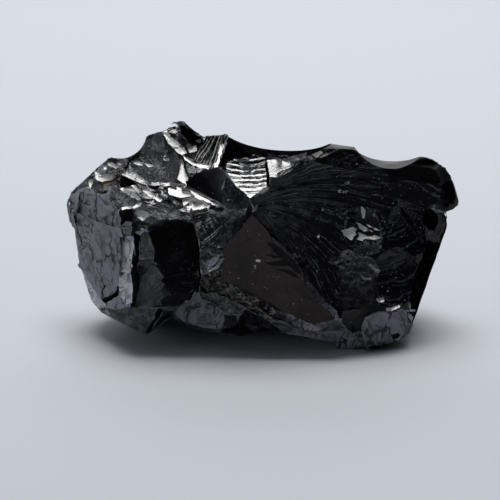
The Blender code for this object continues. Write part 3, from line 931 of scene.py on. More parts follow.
# Small facets cut after the large ones. Most carry the glint finish, a painted highlight where the overhead light would
# glare. The rest are other small dark, veined, dusty or stained marks.
FLECKS = (
    Facet("cap_glint_high", (-8, 44), 0, Finish.PAINTED_GLINT, FLECK, sketched(
        "107,163 112,162 119,167 116,169 109,166"
    ), depth=0.1),
    Facet("cap_glint_left", (-8, 44), 0, Finish.PAINTED_GLINT, FLECK, sketched(
        "103,166 106,165 107,169 104,170"
    ), depth=0.1),
    Facet("cap_glint_low", (-8, 44), 0, Finish.PAINTED_GLINT, FLECK, sketched(
        "97,177 103,176 113,177 112,181 104,183 96,180"
    ), depth=0.1),
    Facet("cap_glint_mid", (-8, 44), 0, Finish.PAINTED_GLINT, FLECK, sketched(
        "99,172 105,170 111,173 104,174"
    ), depth=0.1),
    Facet("cap_glint_end", (-8, 44), 0, Finish.PAINTED_GLINT, FLECK, sketched(
        "89,180 92,179 93,183 91,188 89,186"
    ), depth=0.12),
    Facet("cap_stain", (-18, 38), 0, Finish.GOLD, PLATED, sketched(
        "101,183 104,181 112,180 118,175 121,176 116,180 109,185 103,187"
    ), depth=0.05),
    Facet("ridge_white", (-14, 44), 0, Finish.PAINTED_GLINT, STILL, sketched(
        "131,170 136,173 142,178 146,182 140,179 133,174"
    ), depth=0.12),
    Facet("slope_glint_one", (-4, 44), 0, Finish.PAINTED_GLINT, FLECK, sketched(
        "163,158 169,158 169,161 164,160"
    ), depth=0.07),
    Facet("slope_glint_two", (-4, 44), 0, Finish.PAINTED_GLINT, FLECK, sketched(
        "164,151 168,150 166,156 163,158 165,154"
    ), depth=0.07),
    Facet("slope_glint_three", (-12, 40), 0, Finish.PAINTED_GLINT, FLECK, sketched(
        "131,161 140,161 143,166 137,165"
    ), depth=0.06),
    Facet("slope_glint_four", (-12, 40), 0, Finish.PAINTED_GLINT, FLECK, sketched(
        "141,162 150,164 156,167 150,167"
    ), depth=0.06),
    Facet("crest_white_one", (-4, 43), 0, Finish.PAINTED_GLINT, PLATED, sketched(
        "162,132 167,130 172,137 178,142 184,147 187,153 182,155 175,150 168,143"
    ), depth=0.14, grain=0.15),
    Facet("crest_white_two", (-4, 43), 0, Finish.PAINTED_GLINT, FLECK, sketched(
        "181,158 183,160 184,168 188,178 187,186 181,182 177,179 180,170"
    ), depth=0.14, grain=0.15),
    Facet("bowl_tuft", (-4, 40), 0, Finish.PAINTED_GLINT, FLECK, sketched(
        "188,148 196,145 197,151 190,153"
    ), depth=0.1, grain=0.15),
    Facet("bowl_spot", (-4, 43), 0, Finish.PAINTED_GLINT, FLECK, sketched(
        "195,140 201,139 201,143 197,143"
    ), depth=0.1, grain=0.15),
    Facet("slant_one", (-6, 44), 0, Finish.PAINTED_GLINT, STILL, sketched(
        "118,188 122,187 132,192 140,198 137,200 128,195"
    ), depth=0.14, grain=0.15),
    Facet("slant_two", (-6, 44), 0, Finish.PAINTED_GLINT, STILL, sketched(
        "140,186 146,186 152,192 162,200 160,202 150,197 143,191"
    ), depth=0.14, grain=0.15),
    Facet("slant_three", (-6, 44), 0, Finish.PAINTED_GLINT, STILL, sketched(
        "130,184 135,185 141,192 138,193"
    ), depth=0.14, grain=0.15),
    Facet("slant_four", (-6, 44), 0, Finish.PAINTED_GLINT, FLECK, sketched(
        "160,185 164,184 163,189 160,188"
    ), depth=0.12, grain=0.15),
    Facet("shelf_light", (-10, 40), 0, Finish.PAINTED_GLINT, STILL, sketched(
        "132,206 140,203 143,202 140,206 133,209"
    ), depth=0.12, grain=0.15),
    Facet("white_glint_small", (-4, 44), 0, Finish.PAINTED_GLINT, STILL, sketched(
        "121,207 131,206 133,208 122,210"
    ), depth=0.12, grain=0.15),
    Facet("spot_white", (-4, 43), 0, Finish.PAINTED_GLINT, FLECK, sketched(
        "134,213 138,210 143,210 149,213 150,217 146,218 143,221 138,218"
    ), depth=0.14, grain=0.15),
    Facet("field_white", (-2, 44), 0, Finish.PAINTED_STREAKS, STRIATED, sketched(
        "192,201 200,201 208,205 206,208 196,208"
    ), depth=0.14, strike=(130, 195), grain=0.15),
    Facet("pit_white_tall", (4, 28), 0, Finish.PAINTED_GLINT, PLATED, sketched(
        "361,206 364,208 366,211 365,216 364,222 362,216 361,211"
    ), depth=0.03, grain=0.12),
    Facet("pit_white_low", (0, 32), 0, Finish.PAINTED_GLINT, PLATED, sketched(
        "341,231 347,229 352,227 357,228 355,232 359,237 351,240 345,236"
    ), depth=0.03, grain=0.12),
    Facet("pit_white_long", (0, 32), 0, Finish.PAINTED_GLINT, PLATED, sketched(
        "358,232 363,234 369,236 375,235 381,238 374,240 366,241 356,240 359,236"
    ), depth=0.03, grain=0.12),
    Facet("pit_white_left", (-2, 30), 0, Finish.PAINTED_GLINT, PLATED, sketched(
        "356,222 361,224 366,227 374,232 364,232 359,228"
    ), depth=0.04, grain=0.12),
    Facet("pit_white_slant", (4, 20), 0, Finish.PAINTED_GLINT, PLATED, sketched(
        "366,224 373,227 381,231 375,230 369,227"
    ), depth=0.02, grain=0.12),
    Facet("pit_grey", (4, 26), 0, Finish.MOTTLE, PLATED, sketched(
        "347,212 353,211 358,214 352,218 348,217"
    ), depth=0.04, grain=0.12),
    Facet("pit_grey_low", (4, 26), 0, Finish.MOTTLE, PLATED, sketched(
        "348,219 354,218 357,222 354,227 349,226"
    ), depth=0.1, grain=0.15),
    Facet("pit_shell", (14, 14), 3, Finish.SLATE, SHELL, sketched(
        "352,250 362,246 376,244 384,246 374,254 362,258 352,257"
    ), depth=0.12, strike=(360, 250), grain=0.16),
    Facet("fan_glint_one", (4, 42), 0, Finish.PAINTED_GLINT, PLATED, sketched(
        "338,190 341,189 342,193 338,193"
    ), depth=0.05, grain=0.14),
    Facet("fan_glint_two", (8, 36), 0, Finish.PAINTED_GLINT, FLECK, sketched(
        "344,182 350,181 350,184 345,185"
    ), depth=0.08, grain=0.14),
    Facet("fan_patch", (8, 26), 0, Finish.SLATE, PLATED, sketched(
        "340,188 346,185 350,190 346,194 341,193"
    ), depth=0.08, grain=0.16),
    Facet("glint_low", (4, 42), 0, Finish.PAINTED_GLINT, PLATED, sketched(
        "376,299 380,297 384,297 384,302 379,303"
    ), depth=0.12, grain=0.14),
    Facet("foot_glints", (6, 42), 0, Finish.PAINTED_GLINT, PLATED, sketched(
        "386,308 394,307 400,304 400,307 392,311 386,311"
    ), depth=0.1, grain=0.14),
    Facet("dull_patch_one", (2, 20), 0, Finish.PALE, PLATED, sketched(
        "367,265 371,264 375,268 381,271 380,274 375,272"
    ), depth=0.1, grain=0.16),
    Facet("dull_patch_two", (2, 20), 0, Finish.PALE, PLATED, sketched(
        "360,274 366,278 371,277 372,280 364,280"
    ), depth=0.1, grain=0.16),
    Facet("low_slate", (4, 14), 0, Finish.DULL, STILL, sketched(
        "325,262 338,266 346,272 340,277 333,270"
    ), depth=0.1, grain=0.18),
    Facet("patch_white", (30, 30), 0, Finish.PALE, PLATED, sketched(
        "425,232 430,230 429,234 426,234"
    ), depth=0.1, grain=0.14),
    Facet("arrow_white", (0, 42), 0, Finish.PAINTED_GLINT, STILL, sketched(
        "252,211 255,206 259,203 257,208 253,213"
    ), depth=0.12, grain=0.14),
    Facet("crescent_chip", (-14, 14), 0, Finish.PALE, STILL, sketched(
        "206,262 214,256 220,255 215,264 208,270 206,267"
    ), depth=0.12, grain=0.15),
    Facet("crescent", (0, 43), 0, Finish.PAINTED_GLINT, STILL, sketched(
        "208,271 216,266 221,257 225,258 218,268 209,272"
    ), depth=0.1, grain=0.14),
    Facet("bevel_chip_one", (-14, 18), 0, Finish.PAINTED_GLINT, PLATED, sketched(
        "270,234 275,235 277,238 271,238"
    ), depth=0.08, grain=0.15),
    Facet("bevel_chip_two", (-14, 22), 0, Finish.PAINTED_GLINT, PLATED, sketched(
        "281,242 287,245 286,249 281,245"
    ), depth=0.08, grain=0.15),
    Facet("bevel_chip_three", (-14, 22), 0, Finish.PAINTED_GLINT, PLATED, sketched(
        "292,254 296,253 299,260 295,258"
    ), depth=0.08, grain=0.15),
    Facet("brown_glint_one", (0, 30), 0, Finish.PAINTED_GLINT, STILL, sketched(
        "255,261 257,259 261,260 260,262 257,262"
    ), depth=0.05, grain=0.12),
    Facet("brown_glint_two", (0, 30), 0, Finish.PAINTED_GLINT, STILL, sketched(
        "254,265 256,265 256,269 255,268"
    ), depth=0.05, grain=0.12),
    Facet("feather", (4, -6), 0, Finish.INK, STILL, sketched(
        "270,246 280,250 290,256 298,265 302,275 294,271 286,263 277,256"
    ), depth=0.05, grain=0.18),
    Facet("feather_high", (4, -6), 0, Finish.INK, STILL, sketched(
        "265,241 275,244 284,250 276,250 269,246"
    ), depth=0.05, grain=0.15),
    Facet("feather_mid", (4, -6), 0, Finish.INK, STILL, sketched(
        "262,262 272,262 282,260 289,265 281,266 271,265"
    ), depth=0.05, grain=0.15),
    Facet("feather_tip", (4, -6), 0, Finish.INK, STILL, sketched(
        "276,269 286,269 295,273 301,279 292,276 284,272"
    ), depth=0.05, grain=0.15),
    Facet("feather_thin", (4, -6), 0, Finish.INK, STILL, sketched(
        "264,254 274,255 283,258 274,258"
    ), depth=0.05, grain=0.15),
    Facet("vein_patch", (-16, 4), 0, Finish.VEIN, LAYERED, sketched(
        "193,268 198,269 200,280 196,278"
    ), depth=0.12, grain=0.16),
    Facet("olive_fleck", (-10, 6), 0, Finish.VEIN, PLATED, sketched(
        "252,303 257,301 259,305 254,306"
    ), depth=0.1, grain=0.16),
    Facet("end_hollow", (-10, -30), 0, Finish.INK, GLASSY, sketched(
        "99,300 105,297 111,295 118,290 119,295 112,300 105,303"
    ), depth=0.3, grain=0.18),
    Facet("end_crack", (-20, -10), 0, Finish.INK, GLASSY, sketched(
        "117,286 119,286 119,293 117,292"
    ), depth=0.25, grain=0.14),
    Facet("end_crack_two", (-20, -10), 0, Finish.INK, GLASSY, sketched(
        "105,284 106,286 103,291 103,296 101,293 103,288"
    ), depth=0.25, grain=0.14),
    Facet("gap_light", (-20, 20), 0, Finish.GREY, GLASSY, sketched(
        "127,212 130,209 128,218 124,222"
    ), depth=0.2, grain=0.14),
    Facet("foot_pit", (14, -20), 0, Finish.INK, LAYERED, sketched(
        "392,334 398,333 401,335 396,339 392,338"
    ), depth=0.3, grain=0.14),
    Facet("foot_shade", (-6, -50), 0, Finish.BLACK, GLASSY, sketched(
        "368,347 374,345 382,346 384,351 374,353"
    ), depth=0.3),
    Facet("slope_left_pale", (-16, 30), 0, Finish.PALE, GLASSY, sketched(
        "98,308 107,309 112,316 104,313"
    ), depth=0.1),
    Facet("hollow_foot", (10, 0), 0, Finish.INK, STILL, sketched(
        "160,300 176,292 186,294 196,290 190,300 178,307 162,308"
    ), depth=0.1),
    Facet("corner_mark", (-8, 30), 0, Finish.GREY, FLECK, sketched(
        "206,208 212,206 220,208 226,207 222,212 212,214"
    ), depth=0.1, grain=0.16),
    Facet("pit_glint_dot_one", (2, 30), 0, Finish.PAINTED_GLINT, STILL, sketched(
        "317,236 319,235 320,237 318,238"
    ), depth=0.05, grain=0.13),
    Facet("pit_glint_dot_two", (2, 30), 0, Finish.PAINTED_GLINT, STILL, sketched(
        "373,215 375,214 374,217"
    ), depth=0.05, grain=0.13),
    Facet("fan_glint_dot", (2, 30), 0, Finish.PAINTED_GLINT, STILL, sketched(
        "322,208 324,209 322,211"
    ), depth=0.05, grain=0.13),
    Facet("fan_speck_two", (2, 30), 0, Finish.SLATE, STILL, sketched(
        "346,261 350,260 350,264 347,264"
    ), depth=0.05, grain=0.13),
    Facet("arc_light", (10, 20), 0, Finish.MOTTLE, STRIATED, sketched(
        "399,206 403,209 412,220 418,232 424,244 420,242 412,230 404,217"
    ), depth=0.05, grain=0.14),
    Facet("fan_edge_light", (4, 30), 0, Finish.COMB, STILL, sketched(
        "276,175 283,170 293,166 302,162 306,163 298,168 288,172 279,178"
    ), depth=0.05, strike=(250, 208), grain=0.15),
    Facet("fan_edge_glint", (0, 34), 0, Finish.PAINTED_GLINT, STILL, sketched(
        "284,168 290,165 294,164 293,166 287,169"
    ), depth=0.05, grain=0.15),
    Facet("shell_ring", (16, 18), 0, Finish.SLATE, STRIATED, sketched(
        "374,253 380,249 388,247 396,249 404,254 403,256 395,252 388,250 380,252"
    ), depth=0.05, grain=0.14),
)


@dataclass(frozen=True)
class EdgeChips:
    """Small chips that wear takes from the sharp edges, by rule."""

    seed: int = 11
    count: int = 90
    least_angle: float = math.radians(24.0)
    least_back: float = 0.5  # how far an edge must face the back to be chipped
    spacing: float = 0.9
    smallest: float = 0.35
    largest: float = 1.0
    grain: float = 0.22

    def pick(self, mesh: bpy.types.Mesh) -> list[Scar]:
        """Choose places along the edges.

        Args:
            mesh: The stone so far, in the layout's axes.

        Returns:
            The chips.
        """
        shape = bmesh.new()
        shape.from_mesh(mesh)
        marks = shape.faces.layers.int[SCAR_ATTRIBUTE]
        sharp = [
            edge for edge in shape.edges
            if edge.is_manifold and len({face[marks] for face in edge.link_faces}) == 2
            and edge.calc_face_angle_signed(0.0) > self.least_angle
            and sum((face.normal for face in edge.link_faces), Vector()).y > self.least_back
        ]
        chance = random.Random(self.seed)
        chance.shuffle(sharp)
        taken: list[Scar] = []
        spots: list[Vector] = []
        for edge in sharp:
            middle = (edge.verts[0].co + edge.verts[1].co) / 2
            if len(taken) == self.count:
                break
            if any((middle - spot).length < self.spacing for spot in spots):
                continue
            spots.append(middle)
            taken.append(self._chip(len(taken), middle, edge, chance))
        shape.free()
        return taken

    def _chip(self, number: int, middle: Vector, edge: bmesh.types.BMEdge, chance: random.Random) -> Scar:
        """One chip on an edge.

        Args:
            number: Its number.
            middle: Where it is.
            edge: The edge that it is taken from.
            chance: The run's random numbers.

        Returns:
            The chip.
        """
        one, other = (face.normal for face in edge.link_faces)
        share = chance.uniform(0.25, 0.75)
        out = (one * share + other * (1.0 - share)).normalized()
        reach = self.smallest + (self.largest - self.smallest) * chance.random() ** 2
        bed = middle - out * reach * chance.uniform(0.16, 0.3)
        facing = (math.degrees(math.atan2(out.x, -out.y)), math.degrees(math.asin(max(-1.0, min(1.0, out.z)))))
        finish = chance.choice((Finish.GLASS, Finish.GREY, Finish.SMOOTH))
        return Scar(
            f"edge_chip_{number:03d}", (bed.x, bed.z, -bed.y), facing, reach * chance.uniform(2.0, 4.0), reach * 1.6,
            finish, GLASSY, chance.uniform(1.0, 1.8), chance.uniform(0.0, 180.0), sink=0.0, grain=self.grain,
        )


@dataclass
class Stone:
    """The carved stone."""

    voxel: float = 0.3  # the rough skin's mesh, mm
    spare: float = 0.2  # how far the rough skin stands off the plain solid, mm
    crease: float = math.radians(30.0)
    layout: Layout = field(default_factory=Layout)
    scars: tuple[Scar, ...] = RIM + tuple(replace(scar, grain=BACK_GRAIN) for scar in BACK)
    facets: tuple[Facet, ...] = FACETS
    flecks: tuple[Facet, ...] = FLECKS
    wear: EdgeChips = field(default_factory=EdgeChips)
    struck: list[Scar] = field(default_factory=list)  # every scar so far, in the order of their numbers

    def build(self, solid: bpy.types.Object, finishes: dict[Finish, bpy.types.Material]) -> bpy.types.Object:
        """Carve the stone out of its plain solid.

        Args:
            solid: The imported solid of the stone.
            finishes: The material of each finish.

        Returns:
            The finished piece, in the frame.
        """
        tree = ReliefTree()
        mesh = self._rough_stone(solid, finishes)
        mesh = self._strike(mesh, self.scars, tree)
        log.info("broken faces: %d, %d triangles", len(self.scars), len(mesh.polygons))
        mesh = self._strike(mesh, self._settled(self.facets, mesh), tree)
        log.info("facets: %d, %d triangles", len(self.facets), len(mesh.polygons))
        mesh = self._strike(mesh, self._settled(self.flecks, mesh), tree)
        log.info("flecks: %d, %d triangles", len(self.flecks), len(mesh.polygons))
        worn = self.wear.pick(mesh)
        mesh = self._strike(mesh, worn, tree)
        log.info("edge chips: %d, %d triangles", len(worn), len(mesh.polygons))
        self._clean(mesh)
        self._map_strikes(mesh)
        self._mark_wear(mesh)
        mesh.transform(self.layout.to_frame)
        mesh.name = STONE_PIECE
        piece = bpy.data.objects.new(STONE_PIECE, mesh)
        bpy.context.scene.collection.objects.link(piece)
        return piece

    @staticmethod
    def _evaluated(thing: bpy.types.Object) -> bpy.types.Mesh:
        """The object's mesh with its modifiers applied."""
        graph = bpy.context.evaluated_depsgraph_get()
        return bpy.data.meshes.new_from_object(thing.evaluated_get(graph))

    @staticmethod
    def _placed(name: str, mesh: bpy.types.Mesh) -> bpy.types.Object:
        """A new object in the scene that holds the mesh."""
        thing = bpy.data.objects.new(name, mesh)
        bpy.context.scene.collection.objects.link(thing)
        return thing

    @staticmethod
    def _settled(facets: Iterable[Facet], mesh: bpy.types.Mesh) -> list[Scar]:
        """Find each facet's place on the stone so far.

        Args:
            facets: The facets.
            mesh: The stone so far, in the layout's axes.

        Returns:
            The scars.
        """
        shape = bmesh.new()
        shape.from_mesh(mesh)
        skin = BVHTree.FromBMesh(shape)
        shape.free()
        return [facet.settle(skin) for facet in facets]

    def _rough_stone(self, solid: bpy.types.Object, finishes: dict[Finish, bpy.types.Material]) -> bpy.types.Mesh:
        """The plain solid as an evenly meshed skin in the layout's axes.

        Args:
            solid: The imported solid.
            finishes: The material of each finish, which become the mesh's slots in order.

        Returns:
            The mesh that the scars are cut from.
        """
        mesh = solid.data.copy()
        mesh.transform(self.layout.to_frame.inverted())
        shape = bmesh.new()
        shape.from_mesh(mesh)
        bmesh.ops.remove_doubles(shape, verts=shape.verts, dist=1e-4)
        shape.to_mesh(mesh)
        rough = self._placed("rough_stone", mesh)
        skin = rough.modifiers.new("skin", "REMESH")
        skin.mode = "VOXEL"
        skin.voxel_size = self.voxel
        meshed = self._evaluated(rough)
        bpy.data.objects.remove(rough)
        shape.free()
        places = np.empty(len(meshed.vertices) * 3, np.float32)
        meshed.vertices.foreach_get("co", places)
        outward = np.empty(len(meshed.vertices) * 3, np.float32)
        meshed.vertex_normals.foreach_get("vector", outward)
        meshed.vertices.foreach_set("co", places + outward * self.spare)
        meshed.materials.clear()
        for finish in Finish:
            meshed.materials.append(finishes[finish])
        self._mark(meshed, 0, Finish.BACK)
        for face in meshed.polygons:
            face.material_index = list(Finish).index(self._skin_finish(face.normal))
        return meshed

    @staticmethod
    def _skin_finish(outward: Vector) -> Finish:
        """What is left of the old skin, by the way it faces: weathered black at the back, dull grey where it looks
        down, dusty at the left end, and ink black elsewhere. The dull grey on downward faces is lighter partly as a
        painted reflection of the bright floor.
        """
        if outward.y > 0.3:
            return Finish.BACK
        if outward.z < -0.35:
            return Finish.DULL
        return Finish.DUSTY if outward.x < -0.45 and outward.z < 0.5 else Finish.INK

    @staticmethod
    def _mark(mesh: bpy.types.Mesh, number: int, finish: Finish) -> None:
        """Note on every face which scar it belongs to, and its finish."""
        marks = mesh.attributes.new(SCAR_ATTRIBUTE, "INT", "FACE")
        marks.data.foreach_set("value", np.full(len(mesh.polygons), number, np.int32))
        slot = list(Finish).index(finish)
        mesh.polygons.foreach_set("material_index", np.full(len(mesh.polygons), slot, np.int32))

    def _strike(self, mesh: bpy.types.Mesh, scars: Iterable[Scar], tree: ReliefTree) -> bpy.types.Mesh:
        """Cut scars into a mesh.

        Args:
            mesh: What they are cut into.
            scars: The scars.
            tree: Shapes their beds.

        Returns:
            The cut mesh.
        """
        rough = self._placed("rough_stone", mesh)
        cutters = [self._cutter(batch, tree) for batch in self._batches(scars)]
        for cutter in cutters:
            cut = rough.modifiers.new(cutter.name, "BOOLEAN")
            cut.operation = "DIFFERENCE"
            cut.solver = "MANIFOLD"
            cut.material_mode = "INDEX"
            cut.object = cutter
        result = self._evaluated(rough)
        for helper in [rough, *cutters]:
            bpy.data.objects.remove(helper)
        return result

    @staticmethod
    def _apart(scar: Scar, other: Scar) -> bool:
        """Whether the plugs of two scars can't touch."""
        if scar.seen and other.seen:
            return any(
                min(spot[axis] for spot in a) > max(spot[axis] for spot in b) + 0.4
                for axis in (0, 1) for a, b in ((scar.seen, other.seen), (other.seen, scar.seen))
            )
        sizes = [thing.reach * (thing.stretch + 3.2) for thing in (scar, other)]
        return (Layout.place(scar.at) - Layout.place(other.at)).length > sum(sizes)

    def _batches(self, scars: Iterable[Scar]) -> list[list[Scar]]:
        """Scars sorted into batches whose plugs don't touch each other."""
        batches: list[list[Scar]] = []
        for scar in scars:
            for batch in batches:
                if all(self._apart(scar, other) for other in batch):
                    batch.append(scar)
                    break
            else:
                batches.append([scar])
        return batches

    def _cutter(self, batch: list[Scar], tree: ReliefTree) -> bpy.types.Object:
        """The plugs of one batch, as one object.

        Args:
            batch: Scars whose plugs don't touch.
            tree: Shapes their beds.

        Returns:
            The cutter.
        """
        joined = bmesh.new()
        for scar in batch:
            self.struck.append(scar)
            plug = self._placed(scar.name, self._plug(len(self.struck), scar))
            tree.dress(plug, scar.inputs())
            shaped = self._evaluated(plug)
            shaped.transform(scar.matrix)
            joined.from_mesh(shaped)
            bpy.data.objects.remove(plug)
            bpy.data.meshes.remove(shaped)
        mesh = bpy.data.meshes.new("plugs")
        joined.to_mesh(mesh)
        joined.free()
        return self._placed("cut_" + batch[0].name, mesh)

    def _plug(self, number: int, scar: Scar) -> bpy.types.Mesh:
        """The solid that is struck off to leave a scar, in the scar's own axes.

        Args:
            number: The scar's number.
            scar: The scar.

        Returns:
            The plug, with a level bed that the relief tree then shapes.
        """
        shape = bmesh.new()
        chance = random.Random(number)
        if scar.outline:
            self._outlined_bed(shape, scar, chance)
        else:
            self._round_bed(shape, scar, chance)
        bed = shape.verts.layers.float.new(BED_ATTRIBUTE)
        for vertex in shape.verts:
            vertex[bed] = 1.0
        raised = bmesh.ops.extrude_face_region(shape, geom=list(shape.faces), use_keep_orig=True)["geom"]
        for vertex in (part for part in raised if isinstance(part, bmesh.types.BMVert)):
            if scar.outline:
                ahead = Vector(scar.eye) - vertex.co
                vertex.co += ahead * (12.0 / ahead.length)
            else:
                vertex.co.z = 3.0 * scar.reach
            vertex[bed] = 0.0
        bmesh.ops.recalc_face_normals(shape, faces=shape.faces)
        mesh = bpy.data.meshes.new(scar.name)
        shape.to_mesh(mesh)
        shape.free()
        self._mark(mesh, number, scar.finish)
        return mesh

    @staticmethod
    def _round_bed(shape: bmesh.types.BMesh, scar: Scar, chance: random.Random) -> None:
        """Lay an even grid in a ragged round, or a ragged square.

        Args:
            shape: Takes the grid.
            scar: The scar.
            chance: The plug's random numbers.
        """
        cells = [max(4, round(2.0 * reach / scar.grain)) for reach in (scar.reach * scar.stretch, scar.reach)]
        bmesh.ops.create_grid(shape, x_segments=cells[0], y_segments=cells[1], size=1.0)
        waves = [(count, chance.uniform(0.0, 2.0 * math.pi)) for count in (2, 3, 5, 9)]
        for vertex in shape.verts:
            x, y, _ = vertex.co
            if not scar.square:
                x, y = x * math.sqrt(1.0 - y * y / 2.0), y * math.sqrt(1.0 - x * x / 2.0)
            angle = math.atan2(y, x)
            ragged = 1.0 + sum(0.09 / count**0.5 * math.sin(count * angle + start) for count, start in waves)
            vertex.co = Vector((x * scar.reach * scar.stretch, y * scar.reach, 0.0)) * ragged

    @staticmethod
    def _outlined_bed(shape: bmesh.types.BMesh, scar: Scar, chance: random.Random) -> None:
        """Lay triangles within the scar's outline, whose sides are a little ragged.

        Args:
            shape: Takes the triangles.
            scar: The scar.
            chance: The plug's random numbers.
        """
        rim: list[Vector] = []
        for start, end in zip(scar.outline, scar.outline[1:] + scar.outline[:1], strict=True):
            side = Vector(end) - Vector(start)
            parts = max(1, round(side.length / scar.grain))
            ragged = min(0.45 * scar.grain, 0.05 * side.length)
            rim.append(Vector(start))
            strays = [Vector((chance.uniform(-ragged, ragged), chance.uniform(-ragged, ragged))) for _ in range(parts + 1)]
            for part in range(1, parts):
                stray = (strays[part - 1] + strays[part] + strays[part + 1]) * 0.6
                rim.append(Vector(start) + side * (part / parts) + stray)
        corners = tuple((spot.x, spot.y) for spot in rim)
        xs, ys = [x for x, _ in corners], [y for _, y in corners]
        step, row = scar.grain, scar.grain * 0.87
        spots = list(rim)
        for j in range(int((max(ys) - min(ys)) / row) + 1):
            for i in range(int((max(xs) - min(xs)) / step) + 1):
                spot = (min(xs) + (i + 0.5 * (j % 2)) * step, min(ys) + (j + 0.5) * row)
                if inside(spot, corners):
                    spots.append(Vector(spot))
        points, _, faces, *_ = delaunay_2d_cdt(spots, [], [list(range(len(rim)))], 1, 1e-4)
        corner_points = [shape.verts.new((point.x, point.y, 0.0)) for point in points]
        for face in faces:
            shape.faces.new([corner_points[index] for index in face])
        lone = [vertex for vertex in shape.verts if not vertex.link_faces]
        bmesh.ops.delete(shape, geom=lone, context="VERTS")

    def _clean(self, mesh: bpy.types.Mesh) -> None:
        """Make every face a triangle, and shade smooth but for sharp edges."""
        shape = bmesh.new()
        shape.from_mesh(mesh)
        bmesh.ops.triangulate(shape, faces=shape.faces, ngon_method="EAR_CLIP")
        bmesh.ops.delete(shape, geom=[vertex for vertex in shape.verts if not vertex.link_faces], context="VERTS")
        shape.to_mesh(mesh)
        shape.free()
        mesh.shade_smooth()
        mesh.set_sharp_from_angle(angle=self.crease)

    def _map_strikes(self, mesh: bpy.types.Mesh) -> None:
        """Write the UV map: each face's place, in its own scar's axes, from where the blow fell."""
        corners = np.empty(len(mesh.loops), np.int32)
        mesh.loops.foreach_get("vertex_index", corners)
        places = np.empty(len(mesh.vertices) * 3, np.float32)
        mesh.vertices.foreach_get("co", places)
        places = places.reshape(-1, 3)[corners]
        marks = np.empty(len(mesh.polygons), np.int32)
        mesh.attributes[SCAR_ATTRIBUTE].data.foreach_get("value", marks)
        marks = np.repeat(marks, 3)
        mapped = places[:, [0, 2]].astype(np.float64)
        for index, scar in enumerate(self.struck):
            own = marks == index + 1
            inverse = np.array(scar.matrix.inverted())
            local = places[own] @ inverse[:3, :3].T + inverse[:3, 3]
            mapped[own] = local[:, :2] - np.array(scar.local_strike)
        layer = mesh.uv_layers.get(STRIKE_MAP) or mesh.uv_layers.new(name=STRIKE_MAP)
        layer.data.foreach_set("uv", (mapped * STRIKE_MAP_SCALE).astype(np.float32).ravel())

    @staticmethod
    def _mark_wear(mesh: bpy.types.Mesh, spread: int = 3) -> None:
        """Write how near each point is to an edge between scars.

        Args:
            mesh: The carved mesh.
            spread: How many rings of points the mark reaches.
        """
        marks = np.empty(len(mesh.polygons), np.int32)
        mesh.attributes[SCAR_ATTRIBUTE].data.foreach_get("value", marks)
        corners = np.empty(len(mesh.loops), np.int32)
        mesh.loops.foreach_get("vertex_index", corners)
        lowest = np.full(len(mesh.vertices), 10_000)
        highest = np.zeros(len(mesh.vertices))
        per_corner = np.repeat(marks, 3)
        np.minimum.at(lowest, corners, per_corner)
        np.maximum.at(highest, corners, per_corner)
        wear = (highest > lowest).astype(np.float64)
        edges = np.empty(len(mesh.edges) * 2, np.int32)
        mesh.edges.foreach_get("vertices", edges)
        ends = edges.reshape(-1, 2)
        joined = np.bincount(edges, minlength=len(wear))
        for _ in range(spread):
            near = np.bincount(ends[:, 0], wear[ends[:, 1]], len(wear)) + np.bincount(ends[:, 1], wear[ends[:, 0]], len(wear))
            wear = np.maximum(wear, 0.0) * 0.5 + 0.5 * near / np.maximum(joined, 1)
        layer = mesh.attributes.new(WEAR_ATTRIBUTE, "FLOAT", "POINT")
        layer.data.foreach_set("value", wear.astype(np.float32))


@dataclass(frozen=True)
class Look:
    """How one finish of the stone looks: a mineral colour with a second colour laid over it in patches. The second
    colour is a coat of dust or stain on most finishes and a painted highlight on the glint, streak, ripple and comb
    finishes. Sizes and depths are in millimetres.
    """

    finish: Finish
    mineral: Colour
    film_and_painted_highlight: Colour
    roughness: float
    film_and_highlight_roughness: float
    ior: float = 2.3
    cover: float = 0.3  # the share of the face that the film covers
    patch: float = 3.0  # the size of the film's patches
    softness: float = 0.12  # how gradually a patch ends
    lines: float = 120.0  # hackle lines round a full turn about the strike
    line_depth: float = 0.03
    line_film_and_highlight: float = 0.0  # how much the film keeps to the hackle lines
    ring_film_and_highlight: float = 0.0  # how much it keeps to the ripples
    dust: float = 0.0  # how bright the specks of dust are
    gap: float = 1.2  # between fine ripples
    ripple_depth: float = 0.01
    grain: float = 0.5
    grain_depth: float = 0.01
    crack: float = 2.6  # the size of the plates between cracks
    crack_depth: float = 0.0
    worn: float = 0.2  # how much film lies along the edges
    swirl: float = 0.0  # how far the lines turn with each millimetre, radians
    sway: float = 0.08  # how far the lines wander, radians
    arcs: float = 0.0  # how dark the thin curved cracks are
    specular: float = 0.5


